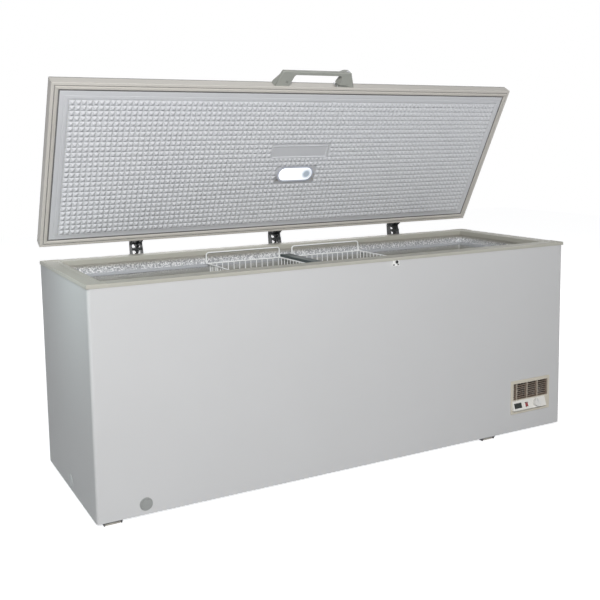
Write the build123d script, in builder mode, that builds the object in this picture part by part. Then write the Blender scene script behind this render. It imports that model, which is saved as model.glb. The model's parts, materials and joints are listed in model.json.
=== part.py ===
from build123d import *
from math import atan2, cos, degrees, radians, sin, sqrt
import os

# Chest freezer with its lid lifted, in millimetres: +Z up, front towards -Y.
# The origin is on the floor, at the middle of the whole outline seen from above.

# Cabinet
cabinet_width = 2030.0
cabinet_depth = 680.0
rim_height = 787.0          # rim top above the underside of the shell
base_clearance = 18.0       # floor to the underside of the shell
sheet = 1.0                 # painted steel panels
corner_bend = 12.0          # outer radius of the front panel's folded edges
fold_return = 14.0          # flat of the fold beyond the bend
pan_sheet = 2.0
foam_floor = 70.0

# Rim frame round the mouth of the tank
rail_wall = 2.5
rim_width = 64.0
rim_lip = 20.0
rim_round = 2.0
rim_groove_at = 47.0
rim_groove = 1.6
mitre_gap = 0.2             # open joint between two rails at a corner
collar_drop = 55.0          # rim top to the ledge that carries the baskets
ledge_width = 14.0
ledge_hook = 8.0
corner_cap_leg = 70.0
corner_cap_width = 13.0
corner_cap_sheet = 1.2

# Tank, evaporator and machine bay
liner_sheet = 1.0
liner_corner = 12.0
bay_width = 403.0           # foam wall beside the machine bay to the cabinet's right end
bay_height = 300.0
step_foam = 60.0
coil_flat = 8.0             # evaporator tube, flattened against the liner
coil_height = 6.0
coil_pitch = 80.0
coil_start = 45.0
coil_top_gap = 60.0         # highest turn to the liner's top, at least

# Lid
lid_thickness = 46.0
lid_gap = 4.0               # lid frame above the rim when closed
lid_wall = 2.5
lid_rail_face = 28.0
lid_rail_top = 14.0
lid_round = 3.0
lid_sheet = 1.0
gasket_in = 14.0            # lid's edge to the seal
gasket_width = 12.0
gasket_free = 0.3           # seal above the rim when closed
lid_liner_sheet = 1.5
lid_border = 38.0
lid_field_rise = 1.5
lamp_x = 12.0
lamp_from_back = 287.0
lamp_length = 171.0
lamp_height = 74.0
lamp_flange = 10.5
lamp_flange_sheet = 2.0
lamp_depth = 26.0
lamp_wall = 1.5
lens_sheet = 2.0
lens_margin = 4.0
bulb_radius = 9.0
bulb_length = 90.0

# Sprung hinges
pivot_back = 35.0           # pivot behind the cabinet's back
pivot_up = 38.0             # pivot above the rim
open_rest = 61.5            # lid angle in the rest pose
open_more = 16.0            # from there to the stop
hinge_from_end = 389.0
hinge_width = 46.0
hinge_sheet = 2.0
hinge_round = 14.0          # head of the flange round the pin
flange_foot = 34.0          # depth of the flange at its foot
channel_drop = 150.0        # channel foot below the rim
channel_clear = 12.0        # below the rim's lip, where the flange starts to lean
seat_drop = 110.0           # spring seat below the rim
seat_sheet = 3.0
seat_boss = 8.0
pin_radius = 4.0
pin_fit = 0.05
pin_head_radius = 7.0
pin_head = 2.5
leaf_side_gap = 1.0
leaf_ear = 3.0
leaf_below = 28.0           # leaf plate below and above the pivot, lid closed
leaf_above = 9.0
cam_width = 12.0
cam_offset = 15.0           # plunger travel for each radian of the lid
cam_low = 12.0              # cam reach with the lid at its stop
cam_hub = 10.0
cam_gap = 0.2
cam_steps = 8
plunger_depth = 24.0
plunger_head = 10.0
plunger_side_gap = 0.3
stem_radius = 5.0
stem_length = 70.0
spring_radius = 10.5
spring_wire = 3.4
spring_end_gap = 0.3

# Control unit on the front panel
unit_width = 213.5
unit_from_right = 65.0
unit_bottom = 75.5
unit_top = 218.0
unit_plate = 4.0
unit_round = 3.0
grille_side = 11.5          # plate edge to the louvred opening
grille_bottom = 136.0
grille_top_border = 13.0
grille_depth = 14.0
skirt_wall = 2.0
slat_pitch = 8.6
slat_sheet = 2.2
slat_chord = 9.0
slat_tilt = 38.0
rib_width = 3.5
rib_count = 3
box_width = 177.0
box_from_unit = 4.5
box_bottom = 94.0
box_top = 133.5
box_reach_low = 21.0        # box front before the panel, at its bottom and top edges
box_reach_high = 8.0
box_wall = 2.0
box_round = 1.5
display_width = 40.0
display_height = 22.0
display_x = -64.5
display_depth = 6.0
rocker_width = 14.0
rocker_height = 18.0
rocker_x = -19.0
rocker_crown = 3.0
rocker_depth = 5.0
rocker_swing = 8.0
housing_rim = 1.5
housing_depth = 9.0
knob_radius = 16.5
knob_depth = 14.0
knob_x = 34.5
knob_face_gap = 0.8
knob_flute = 1.6
knob_flutes = 12
spindle_radius = 3.0
spindle_fit = 0.05
spindle_seat = 6.0          # spindle inside the thermostat
thermostat_size = 34.0
thermostat_height = 17.0
thermostat_depth = 18.0
part_gap = 0.4              # side clearance of small parts in their openings

# Drain, side cap, keeper and feet
drain_from_left = 169.0
drain_up = 36.0
drain_cap_radius = 16.0
drain_cap_sheet = 4.0
drain_ring_radius = 22.5
drain_ring_sheet = 2.5
drain_tube_radius = 10.0
drain_tube_wall = 2.5
drain_run = 120.0
drain_plug_length = 18.0
drain_travel = 30.0
side_cap_radius = 22.5
side_cap_up = 35.0
side_cap_rise = 2.0
side_cap_plug = 6.0
keeper_drop = 23.0
keeper_x = 155.0
keeper_width = 30.0
keeper_height = 22.0
keeper_sheet = 3.0
post_radius = 4.0
post_drop = 17.0
post_head_radius = 6.0
post_head = 1.6
foot_from_left = 58.0
foot_from_right = 391.0
foot_inset = 24.0           # roller line behind the front face, and before the back
foot_length = 60.0
foot_depth = 40.0
foot_sheet = 2.0
cheek_drop = 12.5
roller_radius = 7.5
roller_length = 53.0
axle_radius = 2.5
axle_fit = 0.05

# Handle and lock
handle_left = -167.0
handle_right = 192.0
handle_lean = 27.0          # each leg leans in by this much
handle_reach = 62.0
handle_bar = 21.0
handle_leg_left = 66.0
handle_leg_right = 77.0
handle_inner_lean = 12.0
handle_low = 5.0            # handle above the lid's underside
handle_thick = 36.0
handle_round = 5.0
lock_x = 156.0
lock_up = 18.0              # barrel above the lid's underside
lock_radius = 8.0
lock_fit = 0.05
lock_proud = 1.5
hook_sheet = 2.5
hook_near = 4.0             # hook plane before the lid's front face
hook_slack = 1.0
hook_width = 7.0
hook_arm = 9.0
hook_sweep = 40.0
hook_open_angle = 157.0
lock_turn = 95.0

# Baskets and brace
basket_width = 340.0
basket_drop = 205.0
basket_mid = 2.0
basket_gap = 28.0           # centre line to a basket's side
basket_end_gap = 4.0        # basket to the collar, front and back
basket_wall_gap = 8.0       # basket to the liner, front and back
frame_wire = 2.5
mesh_wire = 1.6
ear_height = 43.0
wire_pitch = 37.0
wire_sides = 6
brace_width = 45.0
brace_height = 14.0
brace_sheet = 2.0
brace_end_gap = 1.0

# Machine bay
condenser_from_right = 245.0
condenser_width = 250.0
condenser_height = 220.0
condenser_depth = 46.0
condenser_stand = 44.0      # core behind the front panel
condenser_up = 12.0
end_plate = 1.5
tube_pitch = 44.0
tube_radius = 4.0
fin_count = 4
fan_radius = 92.0
fan_ring = 3.0
fan_depth = 26.0
fan_tip_gap = 4.0
fan_hub_radius = 22.0
fan_blade_sheet = 2.0
fan_blade_tilt = 28.0
fan_blades = 5
motor_radius = 32.0
motor_length = 52.0
fan_shaft_radius = 4.0
strut_width = 14.0
compressor_from_right = 150.0
compressor_back = 170.0     # compressor centre before the back
compressor_radius = 82.0
compressor_height = 175.0
compressor_plate_width = 230.0
compressor_plate_depth = 150.0
mount_sheet = 3.0
grommet_radius = 13.0
grommet_height = 16.0
terminal_width = 52.0
terminal_height = 60.0
terminal_depth = 30.0
terminal_up = 40.0
pipe_radius = 4.0
pipe_bend = 16.0
drier_radius = 11.0
drier_length = 90.0
drier_end = 8.0             # tapered end of the drier
cover_margin = 16.0
cover_sheet = 1.2
cover_slot_width = 5.0
cover_slot_height = 60.0
cover_slot_pitch = 18.0
cover_slots = 16
side_slot_width = 60.0
side_slot_height = 5.0
side_slot_pitch = 15.0
side_slots = 10
side_slots_back = 80.0       # slots' middle behind the cabinet's
gland_in = 40.0             # gland from the cover's left and lower edges
gland_up = 32.0
gland_radius = 9.0
gland_bore = 4.0
gland_length = 12.0

# Screws
screw_sides = 6
screw_head_radius = 5.0
screw_head = 2.2
screw_radius = 2.2
screw_fit = 0.1
rod_sides = 12              # hidden round bars are drawn with this many sides

# Places worked out from the sizes
face_lean = atan2(box_reach_low - box_reach_high, box_top - box_bottom)
knob_reach = (
    (box_reach_low + box_reach_high) / 2 + (knob_face_gap + knob_depth) * cos(face_lean)
    + knob_radius * sin(face_lean) - rail_wall
)
channel_reach = pivot_back + hinge_round
front_y = (knob_reach - cabinet_depth - channel_reach) / 2
back_y = front_y + cabinet_depth
mid_y = (front_y + back_y) / 2
base_z = base_clearance
rim_z = base_z + rim_height
half_width = cabinet_width / 2
half_depth = cabinet_depth / 2
panel_y = front_y + rail_wall           # outer face of the front panel
rear_y = back_y - rail_wall             # outer face of the back panel
side_x = half_width - rail_wall
core_front = panel_y + sheet
core_back = rear_y - sheet
core_x = side_x - sheet
core_top = rim_z - rail_wall
pan_top = base_z + pan_sheet
bay_top = pan_top + bay_height
fold_depth = corner_bend + fold_return
ledge_z = rim_z - collar_drop
ledge_end = rim_width + ledge_width
liner_setback = liner_corner * (1 - sqrt(0.5)) + part_gap
liner_x = half_width - ledge_end + rail_wall + liner_setback
liner_half_y = half_depth - ledge_end + rail_wall + liner_setback
liner_top = ledge_z - rail_wall
liner_floor = pan_top + foam_floor
step_z = bay_top + step_foam
lid_z = rim_z + lid_gap
lid_top = lid_z + lid_thickness
pivot_y = back_y + pivot_back
pivot_z = rim_z + pivot_up
cam_swing = radians(open_rest + open_more)
rest_swing = radians(open_rest)
hinge_x = half_width - hinge_from_end
hinge_xs = {"left": -hinge_x, "middle": 0.0, "right": hinge_x}
bay_left = half_width - bay_width
step_x = bay_left - step_foam
unit_right = half_width - unit_from_right
unit_left = unit_right - unit_width
box_left = unit_left + box_from_unit
box_right = box_left + box_width
drain_x = drain_from_left - half_width
condenser_x = half_width - condenser_from_right
compressor_x = half_width - compressor_from_right
open_lid = Location((0, pivot_y, pivot_z)) * Location((0, 0, 0), (-open_rest, 0, 0))
open_lid = open_lid * Location((0, -pivot_y, -pivot_z))

os.makedirs("parts", exist_ok=True)


def save(piece, name):
    piece.label = name
    export_step(piece, f"parts/{name}.step")


def save_on_lid(piece, name):
    # Pieces of the lid are drawn closed and saved at the rest angle.
    save(piece.moved(open_lid), name)


def block(x_span, y_span, z_span, mode=Mode.ADD):
    # A box between two limits along each axis.
    spans = (x_span, y_span, z_span)
    with Locations(tuple(sum(span) / 2 for span in spans)):
        Box(*(span[1] - span[0] for span in spans), mode=mode)


def facing_front(y):
    # Sketch plane at y, seen from the front: x to the right, y up, normal towards the viewer.
    return Plane.XZ.offset(-y)


def facing_back(y):
    # Sketch plane at y whose normal points to the back.
    return Plane((0, y, 0), x_dir=(-1, 0, 0), z_dir=(0, 1, 0))


def core_outline():
    # Inside of the sheet shell; its two front corners follow the folds.
    with Locations((0, (core_front + core_back) / 2)):
        Rectangle(2 * core_x, core_back - core_front)
    fillet(vertices().group_by(Axis.Y)[0], corner_bend - sheet)


def screws(seats, grip):
    # Hex-head screws on the planes in seats, each normal pointing out of its seat.
    for seat in seats:
        with BuildSketch(seat) as head:
            RegularPolygon(screw_head_radius, screw_sides)
        extrude(head.sketch, amount=screw_head)
        with BuildSketch(seat) as shank:
            RegularPolygon(screw_radius, screw_sides)
        extrude(shank.sketch, amount=-grip)


def screw_holes(seats, depth):
    # Clearance holes for the same screws.
    for seat in seats:
        with BuildSketch(seat) as hole:
            RegularPolygon(screw_radius + screw_fit, screw_sides)
        extrude(hole.sketch, amount=-depth, mode=Mode.SUBTRACT)


# Screw places
channel_seats = [
    Plane((x + dx, rear_y + hinge_sheet, rim_z - drop), x_dir=(-1, 0, 0), z_dir=(0, 1, 0))
    for x in hinge_xs.values()
    for dx in (-hinge_width / 3, hinge_width / 3)
    for drop in (channel_drop / 3, channel_drop - 12)
]
leaf_inner = hinge_width / 2 - hinge_sheet - leaf_side_gap - leaf_ear
leaf_screw_x = (cam_width / 2 + leaf_inner) / 2
leaf_screw_z = pivot_z - leaf_below + screw_head_radius + 2
leaf_seats = [
    Plane((x + dx, back_y + hinge_sheet, leaf_screw_z), x_dir=(-1, 0, 0), z_dir=(0, 1, 0))
    for x in hinge_xs.values()
    for dx in (-leaf_screw_x, leaf_screw_x)
]
cover_left = bay_left + cover_margin
cover_right = core_x - cover_margin
cover_bottom = pan_top + cover_margin
cover_top = bay_top - cover_margin
cover_seats = [
    Plane((x, rear_y + cover_sheet, z), x_dir=(-1, 0, 0), z_dir=(0, 1, 0))
    for x in (cover_left + 8, cover_right - 8)
    for z in (cover_bottom + 7, cover_top - 7)
]

# Sheet shell

grille_left = unit_left + grille_side
grille_right = unit_right - grille_side
grille_top = unit_top - grille_top_border
skirt_low = box_bottom + box_wall + 2
cut_low = base_z + skirt_low - skirt_wall - part_gap
cut_high = base_z + grille_top + skirt_wall + part_gap
cut_left = grille_left - skirt_wall - part_gap
cut_right = grille_right + skirt_wall + part_gap

with BuildPart() as front_panel:
    with BuildSketch(Plane.XY.offset(base_z)):
        with Locations((0, panel_y + fold_depth)):
            Rectangle(2 * side_x, 2 * fold_depth)
        fillet(vertices(), corner_bend)
        offset(amount=-sheet, mode=Mode.SUBTRACT)
        with Locations((0, panel_y + 1.5 * fold_depth)):
            Rectangle(2 * side_x, fold_depth, mode=Mode.SUBTRACT)
    extrude(amount=core_top - base_z)
    block((cut_left, cut_right), (panel_y, core_front), (cut_low, cut_high), Mode.SUBTRACT)
    with BuildSketch(facing_front(panel_y)):
        with Locations((drain_x, base_z + drain_up)):
            Circle(drain_tube_radius)
    extrude(amount=-sheet, mode=Mode.SUBTRACT)
save(front_panel.part, "front_panel")

with BuildPart() as side_panel_left:
    block((-side_x, -core_x), (panel_y + fold_depth, core_back), (base_z, core_top))
    with BuildSketch(Plane.YZ.offset(-side_x)):
        with Locations((mid_y, base_z + side_cap_up)):
            Circle(side_cap_radius - 6 + part_gap)
    extrude(amount=sheet, mode=Mode.SUBTRACT)
save(side_panel_left.part, "side_panel_left")

with BuildPart() as side_panel_right:
    block((core_x, side_x), (panel_y + fold_depth, core_back), (base_z, core_top))
    with BuildSketch(Plane.YZ.offset(core_x)):
        with Locations((mid_y + side_slots_back, (pan_top + bay_top) / 2)):
            with GridLocations(side_slot_width + 20, side_slot_pitch, 2, side_slots):
                Rectangle(side_slot_width, side_slot_height)
    extrude(amount=sheet, mode=Mode.SUBTRACT)
save(side_panel_right.part, "side_panel_right")

with BuildPart() as back_panel:
    block((-side_x, side_x), (core_back, rear_y), (base_z, core_top))
    inner = cover_margin
    block(
        (cover_left + inner, cover_right - inner), (core_back, rear_y),
        (cover_bottom + inner, cover_top - inner), Mode.SUBTRACT,
    )
    screw_holes(channel_seats + cover_seats, hinge_sheet + cover_sheet + sheet)
save(back_panel.part, "back_panel")

with BuildPart() as base_pan:
    with BuildSketch(Plane.XY.offset(base_z)):
        core_outline()
    extrude(amount=pan_sheet)
save(base_pan.part, "base_pan")

# Tank liner, evaporator and foam


def tank(grow, top):
    # The tank with its step over the machine bay, grown beyond the liner's inner face.
    with BuildPart() as body:
        with BuildSketch(facing_front(mid_y)):
            with BuildLine():
                Polyline(
                    (-liner_x - grow, top), (-liner_x - grow, liner_floor - grow),
                    (step_x + grow, liner_floor - grow), (step_x + grow, step_z - grow),
                    (liner_x + grow, step_z - grow), (liner_x + grow, top), close=True,
                )
            make_face()
        extrude(amount=liner_half_y + grow, both=True)
        upright = edges().filter_by(Axis.Z)
        outer = upright.group_by(Axis.X)[0] + upright.group_by(Axis.X)[-1]
        fillet(outer, liner_corner + grow)
    return body.part


liner_outside = tank(liner_sheet, liner_top)
with BuildPart() as inner_liner:
    add(liner_outside)
    add(tank(0, liner_top), mode=Mode.SUBTRACT)
    drain_y = core_front + drain_run
    with BuildSketch(Plane.XY.offset(liner_floor - liner_sheet)):
        with Locations((drain_x, drain_y)):
            Circle(drain_tube_radius - drain_tube_wall)
    extrude(amount=liner_sheet, mode=Mode.SUBTRACT)
save(inner_liner.part, "inner_liner")

coil_room = liner_top - coil_top_gap - step_z - coil_start
coil_count = int(coil_room / coil_pitch) + 1
with BuildPart() as evaporator_coil:
    # Each turn is bent round the tank's corners in two short facets.
    for row in range(coil_count):
        turn_z = step_z + coil_start + row * coil_pitch
        for grow, mode in ((liner_sheet + coil_flat, Mode.ADD), (liner_sheet, Mode.SUBTRACT)):
            with BuildSketch(Plane.XY.offset(turn_z)) as turn:
                with Locations((0, mid_y)):
                    Rectangle(2 * (liner_x + grow), 2 * (liner_half_y + grow))
                chamfer(vertices(), (2 - sqrt(2)) * (liner_corner + grow))
            extrude(turn.sketch, amount=coil_height, mode=mode)
save(evaporator_coil.part, "evaporator_coil")

drain_z = base_z + drain_up
with BuildPart() as drain_tube:
    with BuildSketch(facing_front(panel_y)):
        with Locations((drain_x, drain_z)):
            Circle(drain_tube_radius)
    extrude(amount=-(sheet + drain_run + drain_tube_radius))
    with BuildSketch(Plane.XY.offset(drain_z)):
        with Locations((drain_x, drain_y)):
            Circle(drain_tube_radius)
    extrude(amount=liner_floor - liner_sheet - drain_z)
    drain_outside = drain_tube.part
    with BuildSketch(facing_front(panel_y)):
        with Locations((drain_x, drain_z)):
            Circle(drain_tube_radius - drain_tube_wall)
    extrude(amount=-(sheet + drain_run), mode=Mode.SUBTRACT)
    with BuildSketch(Plane.XY.offset(drain_z)):
        with Locations((drain_x, drain_y)):
            Circle(drain_tube_radius - drain_tube_wall)
    extrude(amount=liner_floor - liner_sheet - drain_z, mode=Mode.SUBTRACT)
save(drain_tube.part, "drain_tube")

collar_out = rim_width - rail_wall
with BuildPart() as cabinet_foam:
    with BuildSketch(Plane.XY.offset(pan_top)):
        core_outline()
    extrude(amount=core_top - pan_top)
    add(liner_outside, mode=Mode.SUBTRACT)
    add(evaporator_coil.part, mode=Mode.SUBTRACT)
    add(drain_outside, mode=Mode.SUBTRACT)
    block(
        (-half_width + collar_out, half_width - collar_out),
        (front_y + collar_out, back_y - collar_out), (liner_top, core_top), Mode.SUBTRACT,
    )
    block((bay_left, core_x), (core_front, core_back), (pan_top, bay_top), Mode.SUBTRACT)
    with BuildSketch(Plane.YZ.offset(-core_x)):
        with Locations((mid_y, base_z + side_cap_up)):
            Circle(side_cap_radius - 6 + part_gap)
    extrude(amount=side_cap_plug, mode=Mode.SUBTRACT)
save(cabinet_foam.part, "cabinet_foam")

# Rim frame


def mitred_rail(profile, origin, inward, along, length):
    # A rail whose profile runs inward and up, cut at 45 degrees at both ends.
    with BuildPart() as rail:
        with BuildSketch(Plane(origin, x_dir=inward, z_dir=along)):
            profile()
        extrude(amount=length / 2, both=True)
        for end in (-1, 1):
            corner = Vector(origin) + Vector(along) * (end * (length / 2 - mitre_gap))
            cut = Plane(corner, z_dir=Vector(inward) + Vector(along) * end)
            split(bisect_by=cut, keep=Keep.BOTTOM)
    return rail.part


def rail_frame(profile, z):
    # Four mitred rails round the cabinet's outline, their profiles set at height z.
    for side in (-1, 1):
        across = (0, mid_y + side * half_depth, z)
        add(mitred_rail(profile, across, (0, -side, 0), (-side, 0, 0), cabinet_width))
        endwise = (side * half_width, mid_y, z)
        add(mitred_rail(profile, endwise, (-side, 0, 0), (0, side, 0), cabinet_depth))


def rim_profile():
    Polygon(
        (0, 0), (rim_width, 0), (rim_width, -collar_drop), (ledge_end, -collar_drop),
        (ledge_end, -collar_drop - rail_wall - ledge_hook),
        (ledge_end - rail_wall, -collar_drop - rail_wall - ledge_hook),
        (ledge_end - rail_wall, -collar_drop - rail_wall),
        (rim_width - rail_wall, -collar_drop - rail_wall),
        (rim_width - rail_wall, -rail_wall), (rail_wall, -rail_wall),
        (rail_wall, -rim_lip), (0, -rim_lip), align=None,
    )
    top = vertices().group_by(Axis.Y)[-1]
    fillet(top, rim_round)
    with Locations((rim_groove_at, 0)):
        Rectangle(2 * rim_groove, rim_groove, mode=Mode.SUBTRACT)


with BuildPart() as rim_rails:
    rail_frame(rim_profile, rim_z)
save(rim_rails.part, "rim_rails")

with BuildPart() as rim_corners:
    with BuildSketch(Plane.XY.offset(rim_z)):
        with Locations((0, mid_y)):
            Rectangle(cabinet_width - 2 * rim_round, cabinet_depth - 2 * rim_round)
            Rectangle(
                cabinet_width - 2 * corner_cap_width, cabinet_depth - 2 * corner_cap_width,
                mode=Mode.SUBTRACT,
            )
            Rectangle(cabinet_width - 2 * corner_cap_leg, cabinet_depth, mode=Mode.SUBTRACT)
            Rectangle(cabinet_width, cabinet_depth - 2 * corner_cap_leg, mode=Mode.SUBTRACT)
    extrude(amount=corner_cap_sheet)
save(rim_corners.part, "rim_corners")

with BuildPart() as cross_brace:
    with BuildSketch(facing_front(mid_y)):
        with Locations((basket_mid, ledge_z + brace_height / 2)):
            RectangleRounded(brace_width, brace_height, brace_sheet)
        with Locations((basket_mid, ledge_z + (brace_height - brace_sheet) / 2)):
            Rectangle(
                brace_width - 2 * brace_sheet, brace_height - brace_sheet, mode=Mode.SUBTRACT
            )
        with Locations((basket_mid, ledge_z)):
            Rectangle(brace_width - 2 * brace_sheet, brace_sheet, mode=Mode.SUBTRACT)
    extrude(amount=half_depth - rim_width - brace_end_gap, both=True)
save(cross_brace.part, "cross_brace")

# Fittings on the shell

drain_plane = facing_front(panel_y)
with BuildPart() as drain_ring:
    with BuildSketch(drain_plane):
        with Locations((drain_x, drain_z)):
            Circle(drain_ring_radius)
            Circle(drain_cap_radius + part_gap, mode=Mode.SUBTRACT)
    extrude(amount=drain_ring_sheet)
    chamfer(faces().sort_by(Axis.Y)[0].outer_wire().edges(), drain_ring_sheet / 2)
save(drain_ring.part, "drain_ring")

with BuildPart() as drain_cap:
    with BuildSketch(drain_plane):
        with Locations((drain_x, drain_z)):
            Circle(drain_cap_radius)
    extrude(amount=drain_cap_sheet)
    with BuildSketch(drain_plane):
        with Locations((drain_x, drain_z)):
            Circle(drain_tube_radius - drain_tube_wall - part_gap)
    extrude(amount=-drain_plug_length)
save(drain_cap.part, "drain_cap")

with BuildPart() as side_cap:
    with BuildSketch(Plane.YZ.offset(-side_x)):
        with Locations((mid_y, base_z + side_cap_up)):
            Circle(side_cap_radius)
    extrude(amount=-side_cap_rise)
    chamfer(faces().sort_by(Axis.X)[0].edges(), side_cap_rise / 2)
    with BuildSketch(Plane.YZ.offset(-side_x)):
        with Locations((mid_y, base_z + side_cap_up)):
            Circle(side_cap_radius - 6)
    extrude(amount=side_cap_plug)
save(side_cap.part, "side_cap")

hook_plane_y = front_y - hook_near
with BuildPart() as lock_keeper:
    keeper_low = rim_z - keeper_drop - keeper_height / 2
    keeper_high = keeper_low + keeper_height
    keeper_span = (keeper_x - keeper_width / 2, keeper_x + keeper_width / 2)
    block(keeper_span, (front_y - keeper_sheet, front_y), (keeper_low, keeper_high))
    fillet(edges().filter_by(Axis.Y), keeper_sheet)
    block(keeper_span, (front_y, panel_y), (keeper_low + keeper_sheet, rim_z - rim_lip - part_gap))
    with BuildSketch(facing_front(front_y - keeper_sheet)):
        with Locations((lock_x, rim_z - post_drop)):
            RegularPolygon(post_radius, rod_sides)
    extrude(amount=hook_near + hook_sheet + hook_slack + part_gap - keeper_sheet)
    with BuildSketch(facing_front(hook_plane_y - hook_sheet - hook_slack - part_gap)):
        with Locations((lock_x, rim_z - post_drop)):
            RegularPolygon(post_head_radius, rod_sides)
    extrude(amount=post_head)
save(lock_keeper.part, "lock_keeper")

foot_xs = {"left": foot_from_left - half_width, "right": half_width - foot_from_right}
foot_ys = {"front": front_y + foot_inset, "rear": back_y - foot_inset}
with BuildPart() as foot_brackets:
    for x in foot_xs.values():
        for y in foot_ys.values():
            half = foot_length / 2
            span_y = (y - foot_depth / 2, y + foot_depth / 2)
            block((x - half, x + half), span_y, (base_z - foot_sheet, base_z))
            for cheek in (x - half, x + half - foot_sheet):
                with BuildSketch(Plane.YZ.offset(cheek)):
                    with Locations((y, base_z - foot_sheet - cheek_drop / 2)):
                        Trapezoid(foot_depth, cheek_drop, 60, rotation=180)
                extrude(amount=foot_sheet)
save(foot_brackets.part, "foot_brackets")

# Each axle is riveted between its bracket's two cheeks.
with BuildPart() as roller_axles:
    for x in foot_xs.values():
        for y in foot_ys.values():
            with BuildSketch(Plane.YZ.offset(x)):
                with Locations((y, roller_radius)):
                    RegularPolygon(axle_radius, rod_sides)
            extrude(amount=foot_length / 2 - foot_sheet, both=True)
save(roller_axles.part, "roller_axles")

for row, y in foot_ys.items():
    with BuildPart() as rollers:
        for x in foot_xs.values():
            with BuildSketch(Plane.YZ.offset(x)):
                with Locations((y, roller_radius)):
                    Circle(roller_radius)
                    Circle(axle_radius + axle_fit, mode=Mode.SUBTRACT)
            extrude(amount=roller_length / 2, both=True)
    save(rollers.part, f"rollers_{row}")

# Control unit

plate_y = panel_y - unit_plate
skirt_outer = (grille_left - skirt_wall, grille_right + skirt_wall)
grille_z = (base_z + grille_bottom, base_z + grille_top)
with BuildPart() as grille_panel:
    unit_z = base_z + (unit_bottom + unit_top) / 2
    block((unit_left, unit_right), (plate_y, panel_y), (base_z + unit_bottom, base_z + unit_top))
    fillet(edges().filter_by(Axis.Y), unit_round)
    chamfer(faces().sort_by(Axis.Y)[0].edges(), unit_round / 2)
    block(
        skirt_outer, (panel_y, panel_y + grille_depth),
        (base_z + skirt_low - skirt_wall, grille_z[1] + skirt_wall),
    )
    block(
        (grille_left, grille_right), (plate_y, panel_y + grille_depth), grille_z, Mode.SUBTRACT
    )
    block(
        (box_left + 8, box_right - 8), (plate_y, panel_y + grille_depth),
        (base_z + skirt_low, base_z + box_top - 6), Mode.SUBTRACT,
    )
    slats = int((grille_top - grille_bottom) / slat_pitch)
    with BuildSketch(Plane.YZ.offset(grille_left)):
        with Locations((panel_y + grille_depth / 2, sum(grille_z) / 2)):
            with GridLocations(0, slat_pitch, 1, slats):
                Rectangle(slat_chord, slat_sheet, rotation=-slat_tilt)
    extrude(amount=grille_right - grille_left)
    rib_step = (grille_right - grille_left) / (rib_count + 0.35)
    for rib in range(rib_count):
        rib_x = grille_left + (rib + 0.35) * rib_step
        block((rib_x, rib_x + rib_width), (panel_y, panel_y + grille_depth), grille_z)
save(grille_panel.part, "grille_panel")

# The box's front leans back towards its top.
face_rise = box_top - box_bottom
face_set = box_reach_low - box_reach_high
box_mid_x = (box_left + box_right) / 2
face_centre = (
    box_mid_x, panel_y - (box_reach_low + box_reach_high) / 2, base_z + (box_bottom + box_top) / 2
)
face_plane = Plane(face_centre, x_dir=(1, 0, 0), z_dir=(0, -face_rise, face_set))
with BuildPart() as control_box:
    with BuildSketch(Plane.YZ.offset(box_left)):
        with BuildLine():
            Polyline(
                (plate_y, base_z + box_bottom), (panel_y - box_reach_low, base_z + box_bottom),
                (panel_y - box_reach_high, base_z + box_top), (plate_y, base_z + box_top),
                close=True,
            )
        make_face()
    extrude(amount=box_right - box_left)
    fillet(faces().sort_by(Axis.Y)[0].edges(), box_round)
    offset(amount=-box_wall, openings=faces().sort_by(Axis.Y)[-1])
    with BuildSketch(face_plane):
        with Locations((display_x, 0)):
            Rectangle(display_width, display_height)
        with Locations((rocker_x, 0)):
            Rectangle(rocker_width + 2 * part_gap, rocker_height + 2 * part_gap)
        with Locations((knob_x, 0)):
            Circle(spindle_radius + spindle_fit)
    extrude(amount=-box_wall, mode=Mode.SUBTRACT)
save(control_box.part, "control_box")

with BuildPart() as display_window:
    with BuildSketch(face_plane.offset(-box_wall)):
        with Locations((display_x, 0)):
            Rectangle(display_width, display_height)
    extrude(amount=box_wall - 0.5)
    with BuildSketch(face_plane.offset(-box_wall)):
        with Locations((display_x, 0)):
            Rectangle(display_width - 6, display_height - 4)
    extrude(amount=-display_depth)
save(display_window.part, "display_window")

with BuildPart() as rocker_housing:
    with BuildSketch(face_plane):
        with Locations((rocker_x, 0)):
            Rectangle(rocker_width + 2 * housing_rim + 2, rocker_height + 2 * housing_rim + 2)
            Rectangle(
                rocker_width + 2 * part_gap, rocker_height + 2 * part_gap, mode=Mode.SUBTRACT
            )
    extrude(amount=housing_rim)
    with BuildSketch(face_plane.offset(-box_wall)):
        with Locations((rocker_x, 0)):
            Rectangle(rocker_width + 4, rocker_height + 4)
    extrude(amount=-housing_depth)
    with BuildSketch(face_plane.offset(-box_wall)):
        with Locations((rocker_x, 0)):
            Rectangle(
                rocker_width + 2 * part_gap, rocker_height + 2 * part_gap
            )
    extrude(amount=1 - housing_depth, mode=Mode.SUBTRACT)
save(rocker_housing.part, "rocker_housing")

# The rocker turns about a line just under the face, and rests on its lower half.
rocker_pivot = face_plane.location * Location((rocker_x, 0, -box_wall))
rocker_rest = Plane(
    rocker_pivot * Location((0, 0, 0), (0, 90, 0)) * Location((0, 0, 0), (0, 0, rocker_swing / 2))
)
with BuildPart() as power_rocker:
    with BuildSketch(rocker_rest):
        with BuildLine():
            crown = rocker_height / 2 - 1
            top = -(box_wall + housing_rim + rocker_crown)
            waist = -(box_wall + housing_rim)
            Polyline((top, -crown), (rocker_depth, -crown), (rocker_depth, crown), (top, crown))
            ThreePointArc((top, -crown), (waist, 0), (top, crown))
        make_face()
    extrude(amount=rocker_width / 2, both=True)
save(power_rocker.part, "power_rocker")

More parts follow.
